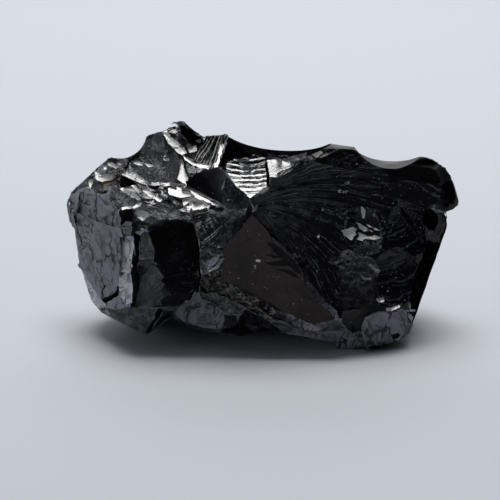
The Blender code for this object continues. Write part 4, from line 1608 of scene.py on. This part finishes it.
class ShaderParts:
    """The shader groups that more than one finish uses, each built once."""

    def __init__(self) -> None:
        """Build the groups."""
        self.lines = self._group("strike_lines", ("Lines", "Gap", "Swirl", "Sway"), ("Hackle", "Ripple", "Arc"), self._wire_lines)
        self.cover = self._group("film_and_highlight_cover", ("Cover", "Patch", "Softness", "Along", "Worn"), ("Mask",), self._wire_cover)
        self.cracks = self._group("fine_cracks", ("Plate",), ("Crack",), self._wire_cracks)
        self.specks = self._group("dust_specks", (), ("Speck",), self._wire_specks)

    @staticmethod
    def _group(name: str, numbers: Iterable[str], results: Iterable[str], wire: Callable[[Graph, object], dict[str, object]]) -> bpy.types.NodeTree:
        """Build one group with a place vector and named numbers in, and named numbers out.

        Args:
            name: The group's name.
            numbers: Its number inputs.
            results: Its outputs.
            wire: Wires the inside and returns what feeds each output.

        Returns:
            The group's tree.
        """
        tree = bpy.data.node_groups.new(name, "ShaderNodeTree")
        tree.interface.new_socket("Place", in_out="INPUT", socket_type="NodeSocketVector")
        for number in numbers:
            tree.interface.new_socket(number, in_out="INPUT", socket_type="NodeSocketFloat")
        for result in results:
            tree.interface.new_socket(result, in_out="OUTPUT", socket_type="NodeSocketFloat")
        graph = Graph(tree)
        given = graph.add("NodeGroupInput").outputs
        graph.add("NodeGroupOutput", wire(graph, given))
        return tree

    @staticmethod
    def _wire_lines(graph: Graph, given: object) -> dict[str, object]:
        """Lines that run out from the strike, and finer rings about it."""
        x, y, _ = graph.split(given["Place"])
        squares = graph.math("ADD", graph.math("MULTIPLY", x, x), graph.math("MULTIPLY", y, y))
        far = graph.math("SQRT", graph.math("ADD", squares, 0.0001))
        stray = graph.math("SUBTRACT", graph.noise(given["Place"], 0.35, 2.0), 0.5)
        spun = graph.math("ADD", graph.math("ARCTAN2", y, x), graph.math("MULTIPLY", far, given["Swirl"]))
        turned = graph.math("ADD", spun, graph.math("MULTIPLY", stray, given["Sway"]))
        turns = graph.math("DIVIDE", given["Lines"], 2.0 * math.pi)
        across = graph.math("MULTIPLY", graph.math("COSINE", turned), turns)
        up = graph.math("MULTIPLY", graph.math("SINE", turned), turns)
        streak = graph.noise(graph.vector(across, up, graph.math("MULTIPLY", far, 0.07)), 1.0, 3.0, 0.6)
        wave = graph.math("DIVIDE", graph.math("ADD", far, graph.math("MULTIPLY", stray, 2.2)), given["Gap"])
        ripple = graph.noise(graph.vector(wave, graph.math("MULTIPLY", across, 0.03), graph.math("MULTIPLY", up, 0.03)), 1.0, 2.0)
        level = graph.math("ABSOLUTE", graph.math("SUBTRACT", ripple, 0.5))
        torn = graph.ramp(graph.noise(given["Place"], 0.9, 3.0), 0.4, 0.52)
        arc = graph.math("MULTIPLY", graph.ramp(level, 0.005, 0.03, 1.0, 0.0), torn)
        return {"Hackle": streak, "Ripple": ripple, "Arc": arc}

    @staticmethod
    def _wire_cover(graph: Graph, given: object) -> dict[str, object]:
        """Where the second colour lies, a coat of dust or stain on most finishes and a painted highlight on some: in
        patches, along lines and along edges.
        """
        scale = graph.math("DIVIDE", 1.0, given["Patch"])
        cloud = graph.noise(given["Place"], scale, 6.0, 0.62)
        edge = graph.add("ShaderNodeAttribute", attribute_name=WEAR_ATTRIBUTE).outputs["Fac"]
        worn = graph.math("MULTIPLY", edge, given["Worn"])
        level = graph.math("ADD", graph.math("ADD", cloud, given["Along"]), worn)
        start = graph.math("SUBTRACT", 1.0, given["Cover"])
        low = graph.math("SUBTRACT", start, given["Softness"])
        high = graph.math("ADD", start, given["Softness"])
        return {"Mask": graph.ramp(level, low, high)}

    @staticmethod
    def _wire_cracks(graph: Graph, given: object) -> dict[str, object]:
        """Thin broken cracks between plates."""
        bend = graph.add("ShaderNodeTexNoise", {"Vector": given["Place"], "Scale": 0.9, "Detail": 3.0}).outputs["Color"]
        moved = graph.add("ShaderNodeVectorMath", {0: bend, 1: (1.6, 1.6, 1.6)}, operation="MULTIPLY_ADD")
        graph.feed(moved.inputs[2], given["Place"])
        scale = graph.math("DIVIDE", 1.0, given["Plate"])
        x, y, z = graph.split(moved.outputs[0])
        inputs = {"Vector": graph.vector(x, y, graph.math("MULTIPLY", z, 0.5)), "Scale": scale}
        gap = graph.add("ShaderNodeTexVoronoi", inputs, feature="DISTANCE_TO_EDGE").outputs["Distance"]
        thin = graph.ramp(gap, 0.01, 0.055, 1.0, 0.0)
        broken = graph.ramp(graph.noise(given["Place"], 0.8, 2.0), 0.42, 0.54)
        return {"Crack": graph.math("MULTIPLY", thin, broken)}


    @staticmethod
    def _wire_specks(graph: Graph, given: object) -> dict[str, object]:
        """Scattered specks of dust, about a tenth of a millimetre wide."""
        cell = graph.add("ShaderNodeTexVoronoi", {"Vector": given["Place"], "Scale": 2.8}).outputs
        kept, size, _ = graph.split(cell["Color"])
        reach = graph.math("MULTIPLY", graph.math("MULTIPLY", size, size), 0.26)
        near = graph.math("LESS_THAN", cell["Distance"], reach)
        return {"Speck": graph.math("MULTIPLY", near, graph.ramp(kept, 0.35, 0.8))}


@dataclass
class Finishes:
    """The stone's materials."""

    looks: tuple[Look, ...]
    parts: ShaderParts = field(default_factory=ShaderParts)

    def build(self) -> dict[Finish, bpy.types.Material]:
        """Every finish as a material."""
        return {look.finish: self._material(look) for look in self.looks}

    def _material(self, look: Look) -> bpy.types.Material:
        """Build one finish.

        Args:
            look: How it looks.

        Returns:
            The material.
        """
        material = bpy.data.materials.new(look.finish.value)
        material.use_nodes = True
        graph = Graph(material.node_tree)
        material.node_tree.nodes.clear()
        spot = graph.add("ShaderNodeTexCoord").outputs["Object"]
        place = graph.add("ShaderNodeVectorMath", {0: spot, 1: (1000.0, 1000.0, 1000.0)}, operation="MULTIPLY").outputs[0]
        chart = graph.add("ShaderNodeUVMap", uv_map=STRIKE_MAP).outputs[0]
        wide = (1.0 / STRIKE_MAP_SCALE,) * 3
        strike = graph.add("ShaderNodeVectorMath", {0: chart, 1: wide}, operation="MULTIPLY").outputs[0]
        lines = graph.add("ShaderNodeGroup", node_tree=self.parts.lines)
        for name, value in {"Place": strike, "Lines": look.lines, "Gap": look.gap, "Swirl": look.swirl, "Sway": look.sway}.items():
            graph.feed(lines.inputs[name], value)
        cracks = graph.add("ShaderNodeGroup", node_tree=self.parts.cracks)
        graph.feed(cracks.inputs["Place"], place)
        graph.feed(cracks.inputs["Plate"], look.crack)
        arc = graph.math("MULTIPLY", lines.outputs["Arc"], look.arcs)
        crack = graph.math("MAXIMUM", cracks.outputs["Crack"], arc)
        cover = graph.add("ShaderNodeGroup", node_tree=self.parts.cover)
        along = graph.math("MULTIPLY", graph.math("SUBTRACT", lines.outputs["Hackle"], 0.5), look.line_film_and_highlight)
        if look.ring_film_and_highlight:
            rings = graph.math("MULTIPLY", graph.math("SUBTRACT", lines.outputs["Ripple"], 0.5), look.ring_film_and_highlight)
            along = graph.math("ADD", along, rings)
        fed = {
            "Place": place, "Cover": look.cover, "Patch": look.patch,
            "Softness": look.softness, "Along": along, "Worn": look.worn,
        }
        for name, value in fed.items():
            graph.feed(cover.inputs[name], value)
        mask = graph.math("MULTIPLY", cover.outputs["Mask"], graph.math("SUBTRACT", 1.0, crack))
        fine = graph.noise(place, 1.0 / look.grain, 5.0, 0.6)
        height = graph.math("MULTIPLY", fine, look.grain_depth)
        for part, depth in (
            (lines.outputs["Hackle"], look.line_depth),
            (lines.outputs["Ripple"], look.ripple_depth),
            (crack, -look.crack_depth),
        ):
            height = graph.math("ADD", height, graph.math("MULTIPLY", part, depth))
        bump = graph.add("ShaderNodeBump", {"Strength": 1.0, "Distance": METRES_PER_MM, "Height": height}).outputs[0]
        shader = graph.add("ShaderNodeBsdfPrincipled", {"IOR": look.ior, "Specular IOR Level": look.specular, "Normal": bump})
        colours = {"Factor": mask, "A": (*look.mineral, 1.0), "B": (*look.film_and_painted_highlight, 1.0)}
        mixed = graph.add("ShaderNodeMix", data_type="RGBA")
        for slot in mixed.inputs:
            if slot.type in ("RGBA",) or slot.identifier == "Factor_Float":
                graph.feed(slot, colours[slot.name])
        colour = next(slot for slot in mixed.outputs if slot.type == "RGBA")
        if look.dust:
            specks = graph.add("ShaderNodeGroup", node_tree=self.parts.specks)
            graph.feed(specks.inputs["Place"], place)
            dusted = graph.add("ShaderNodeMix", data_type="RGBA")
            fed = {"Factor": specks.outputs["Speck"], "A": colour, "B": (look.dust, look.dust, look.dust, 1.0)}
            for slot in dusted.inputs:
                if slot.type in ("RGBA",) or slot.identifier == "Factor_Float":
                    graph.feed(slot, fed[slot.name])
            colour = next(slot for slot in dusted.outputs if slot.type == "RGBA")
        graph.feed(shader.inputs["Base Color"], colour)
        rough = graph.add("ShaderNodeMapRange", {0: mask, 3: look.roughness, 4: look.film_and_highlight_roughness}).outputs[0]
        graph.feed(shader.inputs["Roughness"], rough)
        graph.add("ShaderNodeOutputMaterial", {"Surface": shader.outputs[0]})
        return material


JET: Colour = (0.0035, 0.0035, 0.005)

LOOKS = (
    Look(Finish.GLASS, JET, (0.02, 0.02, 0.026), 0.1, 0.3, cover=0.34, patch=2.0, line_film_and_highlight=0.25, line_depth=0.05),
    # Streaks: a glossy black break with painted highlights. The near-white second colour along the hackle lines stands
    # in for glare.
    Look(
        Finish.PAINTED_STREAKS, (0.008, 0.008, 0.01), (0.86, 0.85, 0.83), 0.1, 0.3, 2.7, cover=0.56, patch=0.6, softness=0.04,
        line_film_and_highlight=2.0, lines=340.0, line_depth=0.045, gap=0.5, ripple_depth=0.02, grain=0.4, grain_depth=0.03,
    ),
    # Comb: a black break with painted highlights. The pale second colour along the hackle lines stands in for glints on
    # their ridges.
    Look(
        Finish.COMB, (0.003, 0.003, 0.004), (0.6, 0.59, 0.57), 0.1, 0.3, 1.8, cover=0.33, patch=0.6, softness=0.05,
        line_film_and_highlight=2.4, lines=260.0, line_depth=0.03, gap=0.5, ripple_depth=0.01, grain=0.4, grain_depth=0.02, dust=0.3,
    ),
    # Glint: a painted highlight. Its near-white second colour stands in for the glare of the overhead light.
    Look(
        Finish.PAINTED_GLINT, (0.05, 0.05, 0.05), (0.98, 0.97, 0.95), 0.12, 0.35, 2.8, cover=0.7, patch=0.3, softness=0.04,
        lines=300.0, line_depth=0.03, gap=0.4, ripple_depth=0.01, grain=0.3, grain_depth=0.05,
    ),
    # Ripples: real ripple bumps with painted highlights. The pale second colour follows the ripples and stands in for
    # their glare.
    Look(
        Finish.RIPPLE_PAINTED_ARCS, (0.004, 0.004, 0.006), (0.6, 0.59, 0.56), 0.08, 0.25, 2.4, cover=0.38, patch=0.7, softness=0.05,
        ring_film_and_highlight=2.0, lines=160.0, line_film_and_highlight=0.7, line_depth=0.02, gap=0.34, ripple_depth=0.06, grain=0.5, grain_depth=0.02,
    ),
    # Dull grey: on faces that look down, its lighter grey is partly a painted reflection of the bright floor.
    Look(
        Finish.DULL, (0.014, 0.014, 0.016), (0.095, 0.095, 0.108), 0.35, 0.5, 1.5, cover=0.46, patch=1.2, softness=0.12,
        line_film_and_highlight=0.5, crack=2.0, crack_depth=0.04, grain=0.3, grain_depth=0.05, arcs=0.8, dust=0.25,
    ),
    Look(
        Finish.FAN, (0.002, 0.002, 0.004), (0.034, 0.036, 0.05), 0.14, 0.35, 1.8, cover=0.34, patch=1.0, softness=0.03,
        line_film_and_highlight=1.9, lines=340.0, line_depth=0.05, swirl=0.025, sway=0.06, grain_depth=0.015, dust=0.24,
    ),
    Look(
        Finish.RINGED, (0.002, 0.002, 0.004), (0.032, 0.034, 0.046), 0.25, 0.4, 1.6, cover=0.32, patch=0.8, softness=0.04,
        line_film_and_highlight=0.4, ring_film_and_highlight=2.0, lines=120.0, gap=0.24, arcs=0.6, specular=0.2, dust=0.3,
    ),
    Look(
        Finish.SMOOTH, (0.004, 0.004, 0.005), (0.018, 0.018, 0.022), 0.12, 0.25, 1.6, cover=0.36, patch=2.0, softness=0.06,
        line_film_and_highlight=1.0, lines=420.0, line_depth=0.03, sway=0.03, gap=0.7, arcs=0.3, dust=0.12, specular=0.3,
    ),
    Look(
        Finish.GREY, (0.009, 0.009, 0.011), (0.03, 0.03, 0.036), 0.14, 0.3, 1.8, cover=0.45, patch=0.9, softness=0.06,
        line_film_and_highlight=0.6, line_depth=0.03, grain=0.4, grain_depth=0.03, crack=1.4, crack_depth=0.02, arcs=0.6, dust=0.2,
    ),
    Look(
        Finish.DUSTY, (0.01, 0.01, 0.012), (0.22, 0.22, 0.26), 0.4, 0.65, 1.4, cover=0.64, patch=1.6, softness=0.22,
        line_film_and_highlight=0.3, ring_film_and_highlight=0.4, crack=3.4, crack_depth=0.03, grain=0.3, grain_depth=0.05, gap=0.5, arcs=1.0,
    ),
    Look(
        Finish.HACKLE, (0.004, 0.004, 0.005), (0.07, 0.07, 0.078), 0.3, 0.5, 1.5, cover=0.42, patch=1.2, softness=0.04,
        line_film_and_highlight=1.8, lines=260.0, line_depth=0.08, sway=0.04,
    ),
    # Brown: a painted reflection. Its brown tint stands in for something brown mirrored in this face.
    Look(
        Finish.BROWN, (0.021, 0.0172, 0.0168), (0.041, 0.0305, 0.029), 0.34, 0.5, 1.45, cover=0.55, patch=4.0,
        softness=0.2, line_film_and_highlight=0.4, lines=300.0, line_depth=0.01, gap=2.4, arcs=0.35, specular=0.35, dust=0.26,
    ),
    Look(
        Finish.VEIN, (0.006, 0.006, 0.006), (0.17, 0.165, 0.125), 0.2, 0.7, 1.6, cover=0.44, patch=0.8, softness=0.04,
        line_film_and_highlight=1.3, lines=460.0, line_depth=0.05, grain=0.3, grain_depth=0.06, crack=0.9, crack_depth=0.04, worn=0.1,
    ),
    Look(
        Finish.ROUGH, (0.004, 0.004, 0.005), (0.24, 0.24, 0.25), 0.12, 0.35, 1.8, cover=0.35, patch=0.7, softness=0.03,
        lines=260.0, line_depth=0.08, line_film_and_highlight=2.6, gap=0.3, ring_film_and_highlight=1.0, grain=0.3, grain_depth=0.05, dust=0.5,
    ),
    Look(
        Finish.INK, (0.0015, 0.0015, 0.0022), (0.008, 0.008, 0.01), 0.3, 0.5, cover=0.36, patch=1.0, softness=0.05,
        line_film_and_highlight=1.0, line_depth=0.05, specular=0.06, dust=0.08,
    ),
    Look(
        Finish.SLATE, (0.012, 0.012, 0.016), (0.034, 0.035, 0.044), 0.16, 0.3, 1.9, cover=0.45, patch=0.9, softness=0.08,
        line_film_and_highlight=0.5, line_depth=0.03, grain=0.35, grain_depth=0.025, crack=1.2, crack_depth=0.02, arcs=0.5, dust=0.3,
    ),
    Look(
        Finish.PALE, (0.05, 0.05, 0.055), (0.6, 0.6, 0.645), 0.4, 0.6, 1.4, cover=0.6, patch=1.2, softness=0.22,
        crack=2.0, crack_depth=0.04, grain=0.3, grain_depth=0.05, gap=0.6, arcs=0.8,
    ),
    Look(
        Finish.MOTTLE, (0.002, 0.002, 0.004), (0.075, 0.08, 0.1), 0.14, 0.35, 1.7, cover=0.4, patch=0.4, softness=0.05,
        line_film_and_highlight=0.8, lines=360.0, line_depth=0.04, grain=0.3, grain_depth=0.03, dust=0.5,
    ),
    Look(
        Finish.BLACK, (0.0016, 0.0016, 0.0024), (0.01, 0.01, 0.012), 0.6, 0.6, 1.2, cover=0.36, patch=0.8, softness=0.05,
        line_film_and_highlight=0.8, line_depth=0.05, specular=0.0, dust=0.06,
    ),
    Look(Finish.GOLD, (0.02, 0.018, 0.015), (0.32, 0.24, 0.13), 0.3, 0.6, 1.5, cover=0.6, patch=0.8, softness=0.06),
    Look(
        Finish.BACK, JET, (0.018, 0.018, 0.022), 0.2, 0.4, 1.7, cover=0.45, patch=1.4, softness=0.05, line_film_and_highlight=1.2,
        lines=110.0, line_depth=0.06, gap=1.1, ripple_depth=0.05, grain=0.8, grain_depth=0.05, crack=3.0,
        crack_depth=0.04, arcs=0.5, dust=0.15,
    ),
)


@dataclass(frozen=True)
class Room:
    """How bright the room is in each direction, seen from the stone."""

    behind: float = 0.25
    left: float = 0.28  # higher up
    left_low: float = 1.1  # level with the stone
    right: float = 0.03
    horizon: float = 0.14  # in front, level with the stone
    front: float = 0.02  # in front, higher up
    ceiling: float = 0.3
    tint: Colour = (0.9, 0.94, 1.0)
    softbox: float = 5.6  # brightness of the light overhead
    softbox_width: float = 0.36
    softbox_depth: float = 0.36
    softbox_height: float = 0.5
    softbox_behind: float = 0.16
    window: float = 2.4  # brightness of the wide light behind


@dataclass
class Studio:
    """The floor, the light and the camera."""

    layout: Layout = field(default_factory=Layout)
    room: Room = field(default_factory=Room)
    pixel: float = 0.127  # one pixel of the 500 wide view at the stone, mm
    lens: float = 180.0
    sensor: float = 36.0
    view_middle: Point = (-1.524, -1.27, 0.0)  # the layout's point at the middle of the view
    floor_colour: Colour = (0.62, 0.64, 0.69)

    def build(self) -> None:
        """Set the stage."""
        self._camera()
        self._floor()
        self._softbox()
        self._world()
        bpy.context.scene.view_settings.view_transform = "Standard"

    def _camera(self) -> None:
        """The camera looks square at the show face, slightly down on the floor."""
        data = bpy.data.cameras.new("studio_camera")
        data.lens = self.lens
        data.sensor_width = self.sensor
        data.clip_start = 0.01
        camera = bpy.data.objects.new("studio_camera", data)
        bpy.context.scene.collection.objects.link(camera)
        away = 500 * self.pixel * self.lens / self.sensor
        stand = Matrix.Translation(Layout.place(self.view_middle) + Vector((0, -away, 0)))
        world = self.layout.to_frame @ stand @ Matrix.Rotation(math.pi / 2, 4, "X")
        place, turn, _ = world.decompose()
        camera.location = place
        camera.rotation_euler = turn.to_euler()
        bpy.context.scene.camera = camera

    def _floor(self) -> None:
        """A pale floor that runs out of view."""
        shape = bmesh.new()
        bmesh.ops.create_grid(shape, x_segments=8, y_segments=8, size=3.0)
        mesh = bpy.data.meshes.new("floor")
        shape.to_mesh(mesh)
        shape.free()
        material = bpy.data.materials.new("pale_floor")
        material.use_nodes = True
        shader = material.node_tree.nodes["Principled BSDF"]
        shader.inputs["Base Color"].default_value = (*self.floor_colour, 1.0)
        shader.inputs["Roughness"].default_value = 0.9
        shader.inputs["Specular IOR Level"].default_value = 0.0
        mesh.materials.append(material)
        floor = bpy.data.objects.new("floor", mesh)
        bpy.context.scene.collection.objects.link(floor)

    def _softbox(self) -> None:
        """The wide lights: one overhead and one low behind."""
        room = self.room
        overhead = (0.0, room.softbox_behind, room.softbox_height)
        self._panel("softbox", overhead, 0.0, (room.softbox_width, room.softbox_depth), room.softbox)
        self._panel("window", (0.0, 1.24, 0.72), math.radians(-62.0), (1.2, 0.68), room.window)

    @staticmethod
    def _panel(name: str, place: Point, tip: float, size: tuple[float, float], bright: float) -> None:
        """Hang one evenly bright panel.

        Args:
            name: Its name.
            place: Where its middle is.
            tip: How far it is tipped from facing straight down.
            size: Its width and depth.
            bright: How bright its face looks.
        """
        data = bpy.data.lights.new(name, "AREA")
        data.shape = "RECTANGLE"
        data.size, data.size_y = size
        data.energy = bright * math.pi * size[0] * size[1]
        light = bpy.data.objects.new(name, data)
        light.location = place
        light.rotation_euler = (tip, 0.0, 0.0)
        bpy.context.scene.collection.objects.link(light)

    def _world(self) -> None:
        """The room's walls and ceiling as soft bands of brightness."""
        room = self.room
        world = bpy.data.worlds.new("room")
        bpy.context.scene.world = world
        world.use_nodes = True
        world.node_tree.nodes.clear()
        graph = Graph(world.node_tree)
        x, y, z = graph.split(graph.add("ShaderNodeTexCoord").outputs["Generated"])
        low = graph.ramp(z, 0.0, 0.3, room.horizon, room.front)
        beside = graph.ramp(z, 0.2, 0.55, room.left_low, room.left)
        sides = graph.add("ShaderNodeMapRange", {0: graph.ramp(x, -0.95, -0.55), 3: beside, 4: low}).outputs[0]
        walls = graph.add("ShaderNodeMapRange", {0: graph.ramp(x, 0.35, 0.9), 3: sides, 4: room.right}).outputs[0]
        round_walls = graph.add("ShaderNodeMapRange", {0: graph.ramp(y, -0.1, 0.35), 3: walls, 4: room.behind}).outputs[0]
        bright = graph.add("ShaderNodeMapRange", {0: graph.ramp(z, 0.8, 0.95), 3: round_walls, 4: room.ceiling}).outputs[0]
        shade = graph.add("ShaderNodeBackground", {"Color": (*room.tint, 1.0), "Strength": bright})
        graph.add("ShaderNodeOutputWorld", {"Surface": shade.outputs[0]})


def main() -> None:
    """Load the frame, carve the stone, and set the stage."""
    logging.basicConfig(level=logging.INFO, format="%(name)s: %(message)s")
    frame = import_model()
    stone = Stone().build(frame["nodes"][STONE_NODE], Finishes(LOOKS).build())
    log.info("carved stone: %d triangles", len(stone.data.polygons))
    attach(stone, "root")
    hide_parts(STONE_NODE)
    Studio().build()


if __name__ == "__main__":
    main()
